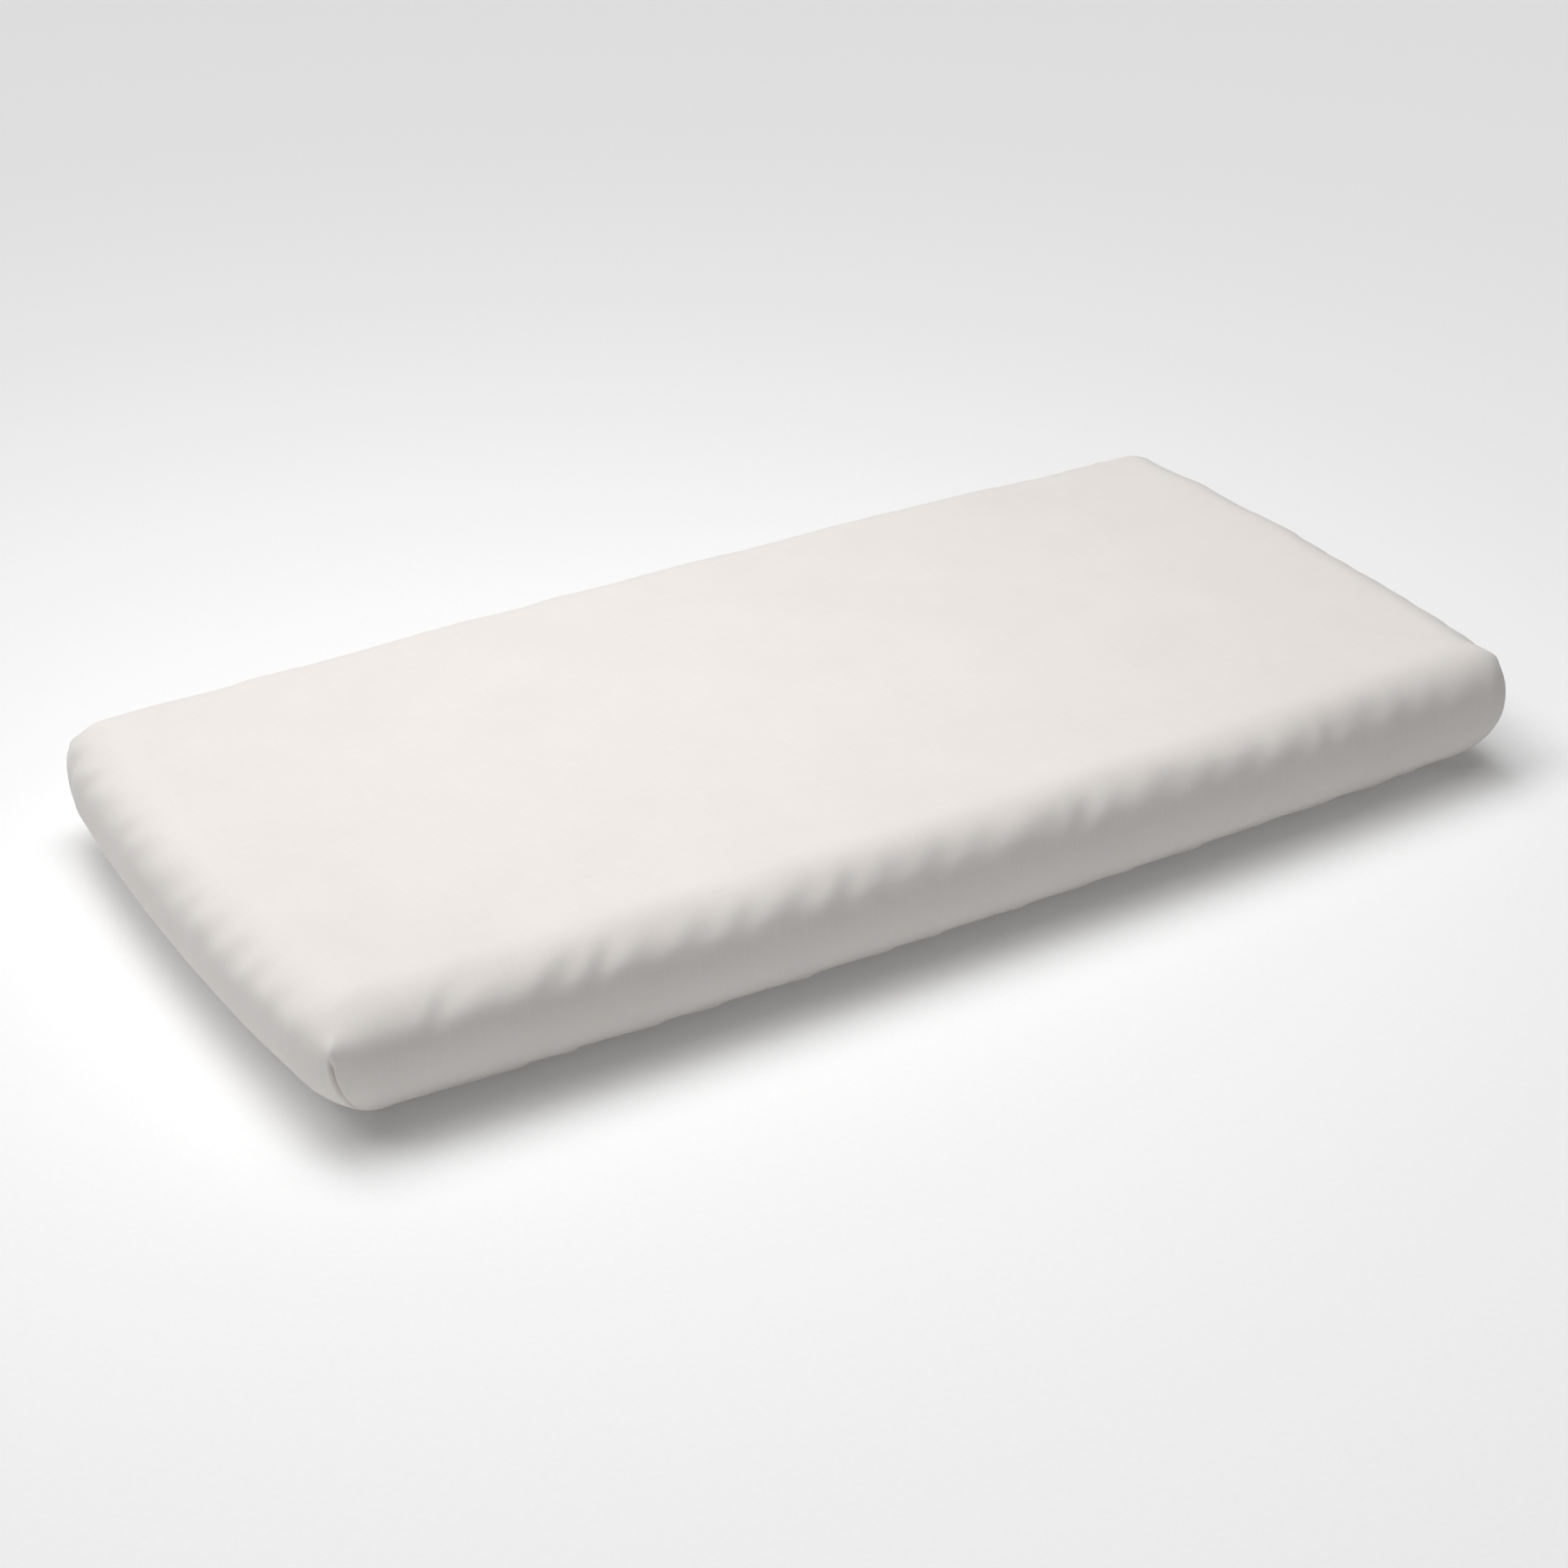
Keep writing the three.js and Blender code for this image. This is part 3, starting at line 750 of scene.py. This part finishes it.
def round_section(depth, floor, reach, step):
    """The section of something that lies a depth inside the cover, from the top round to its underside."""
    lower = UNDER_ROUND - floor
    upper = [(inset, HEIGHT - depth) for inset, z in straight(TOP_REACH, TOP_ROUND, 0, step)]
    upper += quarter(TOP_ROUND, HEIGHT - TOP_ROUND, TOP_ROUND - depth, 90, 0, step)
    under = quarter(depth + lower, floor + lower, lower, 0, -90, step)
    under += straight(depth + lower, reach, floor, step, last=True)
    section = [(inset, z, max(PAD_CORNER - inset, TOP_CORNER + 2 * MM)) for inset, z in upper]
    return section + [(inset, z, PAD_CORNER) for inset, z in under]


def make_round(name, section, steps, closed_below):
    """A rounded slab: its sides from the section, its top filled in, and its underside too if asked."""
    rows = rings(section, steps)
    columns = rows.shape[1]
    grids = [top_grid(rows[0], steps)]
    numbers = [grid_numbers(rows.shape[0] * columns, steps)]
    if closed_below:
        inner = grids[0][1:-1, 1:-1].size // 3
        grids.append(top_grid(rows[-1], steps))
        below = grid_numbers(rows.shape[0] * columns + inner, steps)
        border = np.ones(below.shape, bool)
        border[1:-1, 1:-1] = False
        below[border] += (rows.shape[0] - 1) * columns
        numbers.append(below[::-1])
    points = [rows.reshape(-1, 3)] + [grid[1:-1, 1:-1].reshape(-1, 3) for grid in grids]
    faces = tube_faces(len(rows), columns)
    for grid in numbers:
        faces += quads(grid).tolist()
    return new_object(name, np.concatenate(points), faces)


def make_foam():
    section = round_section(FOAM_DEPTH, FOAM_FLOOR, TOP_REACH, 9 * MM)
    return make_round("foam_block", section, FILM_STEPS, closed_below=True)


def make_casing_top():
    section = round_section(CASING_DEPTH, CASING_FLOOR, CASING_TURN, 6 * MM)
    return make_round("casing_top_film", section, FILM_STEPS, closed_below=False)


def half_ring(steps):
    """The ring round the front half of the casing's base: its welded edge, then its edge beside the zip."""
    long_steps, short_steps = steps
    ring = outline(CASING_TURN - 3 * MM, PAD_CORNER, steps)
    middle = short_steps // 2
    front = ring[:long_steps]
    right = ring[long_steps:long_steps + middle]
    left = ring[2 * long_steps + short_steps + middle:]
    share = np.linspace(1, 0, long_steps + 1)[:-1]
    inner_x = left[0, 0] + (right[-1, 0] - left[0, 0]) * share
    inner_y = np.where(np.abs(inner_x) < SLOT_END, -SLOT_HALF, -0.15 * MM)
    inner = np.column_stack([inner_x, inner_y])
    return np.concatenate([front, right, inner, left])


def make_casing_base(name, side):
    """Half of the casing's underside, with shallow creases between its edges."""
    steps = (FILM_STEPS[0], FILM_STEPS[1] // 2)
    edge = half_ring(FILM_STEPS)
    edge = np.column_stack([edge, np.full(len(edge), CASING_FLOOR + 0.35 * MM)])
    grid = top_grid(edge, steps)
    x, y = grid[:, :, 0], grid[:, :, 1]
    creases = np.sin(x / (31 * MM) + 2.2 * np.sin(y / (47 * MM))) * np.sin(y / (23 * MM) + x / (90 * MM))
    inside = np.zeros(grid.shape[:2])
    inside[2:-2, 2:-2] = 1
    grid[:, :, 2] += 0.25 * MM * creases * inside
    grid[:, :, 1] *= -side
    numbers = np.arange(grid.shape[0] * grid.shape[1]).reshape(grid.shape[:2])
    faces = quads(numbers if side > 0 else numbers[:, ::-1]).tolist()
    base = new_object(name, grid.reshape(-1, 3), faces)
    thicken(base, 0.5 * MM)
    return base


# ---- The zip ----

COIL_PITCH = 1.5 * MM
COIL_WIRE = 0.34 * MM
COIL_MESHED = -0.3 * MM  # where a row begins, from the middle of the zip
COIL_PARTED = 0.7 * MM
COIL_PARTING = (32 * MM, 14 * MM)  # from its end, where a row begins to part and where it has parted


def make_coil(name, side):
    """One row of a nylon zip: a wire wound into long flat loops along the edge of its tape.

    Its loops reach past the middle, between the other row's, except where the slider stands at either end."""
    low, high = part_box("zip_teeth_front")
    turns = round((high.x - low.x) / COIL_PITCH)
    steps, sides = 12, 5
    angle = np.arange(turns * steps + 1) * 2 * math.pi / steps
    x = low.x + (high.x - low.x) * angle / angle[-1] + (COIL_PITCH / 2 if side > 0 else 0)
    lean = 0.25 * COIL_PITCH * np.sin(angle)
    parted = smooth_step(np.abs(x), high.x - COIL_PARTING[0], high.x - COIL_PARTING[1])
    inner = COIL_MESHED + (COIL_PARTED - COIL_MESHED) * parted
    outer = high_reach("zip_teeth_front")
    middle_y = (inner + outer) / 2
    half_y = (outer - inner) / 2 - COIL_WIRE
    half_z = (high.z - low.z) / 2 - COIL_WIRE
    line = np.column_stack([
        x + lean,
        side * (middle_y + half_y * np.cos(angle)),
        (low.z + high.z) / 2 + half_z * np.sin(angle),
    ])
    along = np.gradient(line, axis=0)
    along /= np.linalg.norm(along, axis=1, keepdims=True)
    across = np.cross(along, (1, 0, 0))
    across /= np.linalg.norm(across, axis=1, keepdims=True)
    other = np.cross(along, across)
    rows = []
    for turn in np.arange(sides) * 2 * math.pi / sides:
        rows.append(line + COIL_WIRE * (math.cos(turn) * across + math.sin(turn) * other))
    rings_of_wire = np.stack(rows, axis=1)
    return new_object(name, rings_of_wire.reshape(-1, 3), tube_faces(len(line), sides))


def high_reach(node_name):
    """How far a CAD node reaches from the middle line of the pad."""
    low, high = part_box(node_name)
    return max(abs(low.y), abs(high.y))


def make_end_tab(name, node_name):
    """A small folded tab of film sewn over the end of the zip."""
    low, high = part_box(node_name)
    margin = 1.2 * MM
    across = (
        [low.y, low.y + margin] + list(np.linspace(low.y + 3 * MM, high.y - 3 * MM, 7))
        + [high.y - margin, high.y]
    )
    along = (
        [low.x, low.x + margin] + list(np.linspace(low.x + 3 * MM, high.x - 3 * MM, 9))
        + [high.x - margin, high.x]
    )
    points = []
    for x in along:
        for y in across:
            edge = min(x - low.x, high.x - x, y - low.y, high.y - y)
            sewn = math.exp(-((edge - 2.4 * MM) / (0.9 * MM)) ** 2)
            points.append((x, y, (low.z + high.z) / 2 - 0.12 * MM + 0.12 * MM * sewn))
    tab = new_object(name, points, tube_faces(len(along), len(across), closed=False))
    thicken(tab, 0.6 * MM)
    return tab


def tab_stitches(name, node_name):
    """The box of stitches that holds an end tab."""
    low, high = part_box(node_name)
    inset = 2.4 * MM
    z = low.z + 0.05 * MM
    corners = [(low.x + inset, low.y + inset), (high.x - inset, low.y + inset), (high.x - inset, high.y - inset),
               (low.x + inset, high.y - inset), (low.x + inset, low.y + inset)]
    return make_stitching(name, [(x, y, z) for x, y in corners])


def zip_seam(name, side):
    """The stitches through the casing and one zip tape."""
    z = CASING_FLOOR + 0.05 * MM
    y = side * (SLOT_HALF + 2.5 * MM)
    return make_stitching(name, [(-SLOT_END, y, z), (SLOT_END, y, z)])


# ---- Materials ----

def new_tree(name):
    material = bpy.data.materials.new(name)
    material.use_nodes = True
    material.node_tree.nodes.clear()
    return material, material.node_tree


def node(tree, kind, values=None, **settings):
    """Adds a node. A value that is another node's output is joined to it, and any other value is set."""
    made = tree.nodes.new("ShaderNode" + kind)
    for key, value in settings.items():
        setattr(made, key, value)
    for key, value in (values or {}).items():
        if isinstance(value, bpy.types.NodeSocket):
            tree.links.new(value, made.inputs[key])
        else:
            made.inputs[key].default_value = value
    return made


def maths(tree, operation, first, second):
    return node(tree, "Math", {0: first, 1: second}, operation=operation).outputs[0]


def stretched_noise(tree, place, scales, detail=2.0):
    """Noise with a scale of its own along each axis, in features per metre."""
    mapping = node(tree, "Mapping", {"Vector": place, "Scale": scales})
    settings = {"Vector": mapping.outputs[0], "Scale": 1.0, "Detail": detail}
    return node(tree, "TexNoise", settings).outputs["Fac"]


def ribs(tree, place, pitch, direction):
    """Parallel ridges a pitch apart, in metres."""
    return node(tree, "TexWave", {"Vector": place, "Scale": 2 * math.pi / (20 * pitch)},
                bands_direction=direction).outputs["Fac"]


def tinted(tree, noise, dark, light, low=0.3, high=0.7):
    """A colour that follows a noise from dark to light."""
    ramp = node(tree, "ValToRGB", {"Fac": noise})
    ramp.color_ramp.elements[0].position = low
    ramp.color_ramp.elements[0].color = (*dark, 1)
    ramp.color_ramp.elements[1].position = high
    ramp.color_ramp.elements[1].color = (*light, 1)
    return ramp.outputs["Color"]


def finished(tree, values):
    """A principled surface with these values, as the material's output."""
    surface = node(tree, "BsdfPrincipled", values)
    output = node(tree, "OutputMaterial")
    tree.links.new(surface.outputs[0], output.inputs["Surface"])


def bumped(tree, height, distance, strength=1.0, under=None):
    values = {"Height": height, "Distance": distance, "Strength": strength}
    if under is not None:
        values["Normal"] = under
    return node(tree, "Bump", values).outputs["Normal"]


COTTON = (0.805, 0.768, 0.740)
THREAD = 0.42 * MM


def shade(colour, factor):
    return tuple(channel * factor for channel in colour)


def cover_cotton():
    """Plain-woven cotton: crossing threads, a few thicker ones, and faint patches of tone."""
    material, tree = new_tree("cover_cotton")
    place = node(tree, "UVMap", uv_map="cloth").outputs["UV"]
    warp = ribs(tree, place, THREAD, "X")
    weft = ribs(tree, place, THREAD, "Y")
    weave = maths(tree, "MULTIPLY", warp, weft)
    long_slubs = stretched_noise(tree, place, (40, 1300, 1))
    cross_slubs = stretched_noise(tree, place, (1300, 40, 1))
    slubs = maths(
        tree, "ADD", maths(tree, "MULTIPLY", long_slubs, 0.5), maths(tree, "MULTIPLY", cross_slubs, 0.5)
    )
    patches = stretched_noise(tree, place, (16, 16, 1), 3.0)
    tone = tinted(tree, slubs, shade(COTTON, 0.975), shade(COTTON, 1.015), 0.35, 0.65)
    patch_tone = tinted(tree, patches, (0.975, 0.972, 0.97), (1, 1, 1))
    colour = node(tree, "MixRGB", {"Fac": 1.0, "Color1": tone, "Color2": patch_tone}, blend_type="MULTIPLY")
    creases = stretched_noise(tree, place, (70, 70, 1), 3.0)
    rough = bumped(tree, creases, 0.35 * MM, 0.35)
    threads = bumped(tree, slubs, 0.05 * MM, 0.4, rough)
    normal = bumped(tree, weave, 0.05 * MM, 0.6, threads)
    finished(tree, {
        "Base Color": colour.outputs["Color"], "Roughness": 0.92, "Normal": normal,
        "Sheen Weight": 0.12, "Sheen Roughness": 0.5, "Specular IOR Level": 0.25,
    })
    return material


def sewing_thread():
    """Twisted thread, a little brighter than the cloth that it sews."""
    material, tree = new_tree("seam_thread")
    place = node(tree, "TexCoord").outputs["Object"]
    mapping = node(tree, "Mapping", {"Vector": place, "Rotation": (0.5, 0.6, 0.7)})
    twist = ribs(tree, mapping.outputs[0], 0.25 * MM, "DIAGONAL")
    colour = tinted(tree, twist, shade(COTTON, 0.9), shade(COTTON, 1.06))
    finished(tree, {"Base Color": colour, "Roughness": 0.7, "Normal": bumped(tree, twist, 0.03 * MM, 0.6)})
    return material


def woven_elastic():
    """Ribbed elastic tape."""
    material, tree = new_tree("elastic")
    place = node(tree, "TexCoord").outputs["Object"]
    cords = maths(tree, "MULTIPLY", ribs(tree, place, 1.3 * MM, "X"), ribs(tree, place, 1.3 * MM, "Y"))
    fuzz = stretched_noise(tree, place, (1500, 1500, 1500))
    colour = tinted(tree, fuzz, (0.72, 0.70, 0.66), (0.82, 0.80, 0.76))
    rough = bumped(tree, fuzz, 0.03 * MM, 0.4)
    finished(tree, {
        "Base Color": colour, "Roughness": 0.8, "Normal": bumped(tree, cords, 0.15 * MM, 0.7, rough)
    })
    return material


def label_satin():
    """White satin tape: long floating threads with a soft shine across them."""
    material, tree = new_tree("label_satin")
    place = node(tree, "TexCoord").outputs["Object"]
    floats = stretched_noise(tree, place, (60, 3500, 60))
    colour = tinted(tree, floats, (0.80, 0.80, 0.79), (0.90, 0.90, 0.89))
    finished(tree, {
        "Base Color": colour, "Roughness": 0.38, "Anisotropic": 0.6,
        "Normal": bumped(tree, floats, 0.03 * MM, 0.5), "Sheen Weight": 0.2,
    })
    return material


def wipe_clean_film():
    """White embossed vinyl with a fine pebble and a soft shine."""
    material, tree = new_tree("casing_film")
    place = node(tree, "TexCoord").outputs["Object"]
    pebble = node(tree, "TexVoronoi", {"Vector": place, "Scale": 1100.0}).outputs["Distance"]
    cloud = stretched_noise(tree, place, (25, 25, 25), 3.0)
    colour = tinted(tree, cloud, (0.82, 0.82, 0.808), (0.85, 0.85, 0.84))
    roughness = node(tree, "MapRange", {"Value": cloud, "To Min": 0.32, "To Max": 0.48}).outputs[0]
    wrinkles = bumped(tree, stretched_noise(tree, place, (45, 70, 45), 4.0), 0.5 * MM, 0.4)
    finished(tree, {
        "Base Color": colour, "Roughness": roughness, "Coat Weight": 0.15, "Coat Roughness": 0.35,
        "Normal": bumped(tree, pebble, 0.05 * MM, 0.5, wrinkles),
    })
    return material


def open_foam():
    """Cream polyurethane foam: small open cells of two sizes, with painted shade in their hollows."""
    material, tree = new_tree("foam")
    place = node(tree, "TexCoord").outputs["Object"]
    cells = node(tree, "TexVoronoi", {"Vector": place, "Scale": 900.0}).outputs["Distance"]
    pores = node(tree, "TexVoronoi", {"Vector": place, "Scale": 350.0}).outputs["Distance"]
    depth = maths(tree, "MULTIPLY", cells, pores)
    # Painted shade: the colour darkens into the hollow of each cell, the same pattern that the bump sinks.
    colour = tinted(tree, depth, (0.62, 0.55, 0.36), (0.90, 0.84, 0.62), 0.0, 0.35)
    finished(tree, {
        "Base Color": colour, "Roughness": 0.95,
        "Subsurface Weight": 0.1, "Subsurface Radius": (0.004, 0.003, 0.002),
        "Normal": bumped(tree, depth, 0.4 * MM, 0.8),
    })
    return material


def zip_tape_cloth():
    """Polyester tape in a fine herringbone."""
    material, tree = new_tree("zip_cloth")
    place = node(tree, "TexCoord").outputs["Object"]
    mapping = node(tree, "Mapping", {"Vector": place, "Rotation": (0, 0, math.radians(35))})
    twill = ribs(tree, mapping.outputs[0], 0.55 * MM, "X")
    courses = ribs(tree, place, 2.2 * MM, "Y")
    weave = maths(tree, "MULTIPLY", twill, courses)
    colour = tinted(tree, weave, (0.70, 0.70, 0.69), (0.83, 0.83, 0.82))
    finished(tree, {"Base Color": colour, "Roughness": 0.85, "Normal": bumped(tree, weave, 0.08 * MM, 0.7)})
    return material


def zip_nylon():
    """Clear-white nylon wire with a dull shine."""
    material, tree = new_tree("zip_nylon")
    place = node(tree, "TexCoord").outputs["Object"]
    cloud = stretched_noise(tree, place, (400, 400, 400))
    colour = tinted(tree, cloud, (0.80, 0.80, 0.79), (0.88, 0.88, 0.87))
    finished(tree, {"Base Color": colour, "Roughness": 0.35, "Subsurface Weight": 0.15,
                    "Subsurface Radius": (0.002, 0.002, 0.002),
                    "Normal": bumped(tree, cloud, 0.02 * MM, 0.3)})
    return material


def brushed_metal():
    """Plated zinc, brushed along the pad, with finer scuffs and duller patches."""
    material, tree = new_tree("zip_metal")
    place = node(tree, "TexCoord").outputs["Object"]
    brushing = stretched_noise(tree, place, (80, 6000, 6000))
    patches = stretched_noise(tree, place, (300, 300, 300), 3.0)
    colour = tinted(tree, patches, (0.50, 0.51, 0.52), (0.66, 0.67, 0.68))
    roughness = node(tree, "MapRange", {"Value": patches, "To Min": 0.22, "To Max": 0.45}).outputs[0]
    finished(tree, {"Base Color": colour, "Metallic": 1.0, "Roughness": roughness,
                    "Normal": bumped(tree, brushing, 0.01 * MM, 0.5)})
    return material


# ---- Floor, light and camera ----

PAPER_REACH = 7  # metres of flat floor on every side, before the paper curves up behind it
PAPER_CURVE = 2
PAPER_HEIGHT = 3.4


def make_floor():
    material, tree = new_tree("floor_paper")
    place = node(tree, "TexCoord").outputs["Object"]
    grain = stretched_noise(tree, place, (300, 300, 300))
    colour = tinted(tree, grain, (0.80, 0.80, 0.80), (0.815, 0.815, 0.815))
    # Painted light: the paper glows a little of itself, which lifts the pad's shadow on it, whitens the far
    # floor and lights the pad from below.
    painted_glow = {"Emission Color": (1, 1, 1, 1), "Emission Strength": 0.10}
    finished(tree, {"Base Color": colour, "Roughness": 0.9, **painted_glow})
    curve = [
        (PAPER_REACH + PAPER_CURVE * math.sin(turn), PAPER_CURVE * (1 - math.cos(turn)))
        for turn in np.radians(np.linspace(0, 90, 7))
    ]
    curve.append((PAPER_REACH + PAPER_CURVE, PAPER_HEIGHT))
    turns = np.arange(96) * 2 * math.pi / 96
    floor = new_object("floor", round_paper([(PAPER_REACH, 0)], turns), [list(range(96))])
    backdrop = new_object("backdrop", round_paper(curve, turns), tube_faces(len(curve), 96))
    # It fills the view behind the pad, and throws neither light nor shadow on it.
    backdrop.visible_diffuse = False
    backdrop.visible_shadow = False
    for paper in (floor, backdrop):
        paper.data.materials.append(material)


def round_paper(edge, turns):
    return [(radius * math.cos(turn), radius * math.sin(turn), z) for radius, z in edge for turn in turns]


def sun(name, direction, strength, angle, colour=(1, 1, 1)):
    """A wide, even light that shines from a direction."""
    data = bpy.data.lights.new(name, "SUN")
    data.energy = strength
    data.angle = math.radians(angle)
    data.color = colour
    lamp = bpy.data.objects.new(name, data)
    lamp.rotation_euler = Vector(direction).to_track_quat("Z", "Y").to_euler()
    bpy.context.scene.collection.objects.link(lamp)


def softbox(name, place, aim, size, power):
    """A square lamp near the pad, which makes the light fall off away from it."""
    data = bpy.data.lights.new(name, "AREA")
    data.energy = power
    data.size = size
    lamp = bpy.data.objects.new(name, data)
    lamp.location = place
    lamp.rotation_euler = (Vector(place) - Vector(aim)).to_track_quat("Z", "Y").to_euler()
    bpy.context.scene.collection.objects.link(lamp)


def make_light():
    world = bpy.data.worlds.new("studio")
    world.use_nodes = True
    world.node_tree.nodes["Background"].inputs["Color"].default_value = (1, 1, 1, 1)
    world.node_tree.nodes["Background"].inputs["Strength"].default_value = 0.01
    bpy.context.scene.world = world
    sun("overhead", (0, 0, 1), 1.0, 40)
    sun("key", (-0.50, 0.29, 0.82), 0.74, 30)
    sun("back", (0, 0.47, 0.88), 0.73, 30)
    sun("fill", (-0.71, -0.41, 0.57), 0.19, 30)
    softbox("near", (-0.2, 0.1, 0.9), (-0.1, 0.05, 0.04), 0.6, 3.1)


AZIMUTH = math.radians(-31.57)
ELEVATION = math.radians(28.40)
DISTANCE = 1.980


def make_camera():
    back = Vector((
        math.sin(AZIMUTH) * math.cos(ELEVATION),
        -math.cos(AZIMUTH) * math.cos(ELEVATION),
        math.sin(ELEVATION),
    ))
    data = bpy.data.cameras.new("camera")
    data.lens = 75.45
    data.shift_x = -0.0111
    data.shift_y = -0.0264
    camera = bpy.data.objects.new("camera", data)
    camera.location = Vector((0, 0, HEIGHT / 2)) + back * DISTANCE
    camera.rotation_euler = back.to_track_quat("Z", "Y").to_euler()
    bpy.context.scene.collection.objects.link(camera)
    bpy.context.scene.camera = camera


# ---- Putting it together ----

make_camera()
make_light()
make_floor()
bpy.context.scene.view_settings.view_transform = "Standard"

MATERIALS = {
    "cover_cotton": cover_cotton(), "seam_thread": sewing_thread(), "elastic": woven_elastic(),
    "label_satin": label_satin(), "casing_film": wipe_clean_film(), "foam": open_foam(),
    "zip_cloth": zip_tape_cloth(), "zip_nylon": zip_nylon(), "zip_metal": brushed_metal(),
}


def finish_piece(piece, slot_name, *stands_for):
    """Gives a piece its material, and hides the CAD nodes it stands for. All of them ride on the pad."""
    piece.data.materials.clear()
    piece.data.materials.append(MATERIALS[slot_name])
    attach(piece, "pad")
    if stands_for:
        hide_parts(*stands_for)
    return piece


def paint_cad(node_name, slot_name):
    """Gives a CAD node that stays as it is its finished material."""
    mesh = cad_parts[node_name].data
    mesh.materials.clear()
    mesh.materials.append(MATERIALS[slot_name])


cover, cover_lines = make_cover()
finish_piece(cover, "cover_cotton", "cover_cloth")
finish_piece(make_elastic(cover_lines), "elastic", "cover_hem_elastic")
CORNER_NAMES = ("front_left", "front_right", "back_right", "back_left")
for column, top, corner_name in zip(DARTS, DART_TOPS, CORNER_NAMES):
    stitching = make_stitching("dart_" + corner_name, dart_line(cover_lines, column, top), radius=0.18 * MM)
    finish_piece(stitching, "seam_thread", "cover_seam_" + corner_name)
finish_piece(make_stitching("hem_stitches", hem_line(cover_lines), stitch=3.2 * MM), "seam_thread")
label = finish_piece(make_label(), "label_satin", "cover_care_label")

foam = finish_piece(make_foam(), "foam", "foam_core")
finish_piece(make_casing_top(), "casing_film", "casing_top_shell")
for side, side_name in ((-1, "front"), (1, "back")):
    base = make_casing_base("casing_base_film_" + side_name, side)
    finish_piece(base, "casing_film", "casing_base_" + side_name)
    finish_piece(make_coil("zip_coil_" + side_name, side), "zip_nylon", "zip_teeth_" + side_name)
    finish_piece(zip_seam("zip_seam_" + side_name, side), "seam_thread")
    paint_cad("zip_tape_" + side_name, "zip_cloth")
    paint_cad("zip_top_stop_" + side_name, "zip_metal")
for end_name in ("left", "right"):
    node_name = "zip_end_tab_" + end_name
    finish_piece(make_end_tab("end_tab_" + end_name, node_name), "casing_film", node_name)
    finish_piece(tab_stitches("end_tab_stitches_" + end_name, node_name), "seam_thread")
for node_name in ("zip_bottom_stop", "zip_slider", "zip_pull_tab"):
    paint_cad(node_name, "zip_metal")
paint_cad("casing_seam_tape", "zip_cloth")
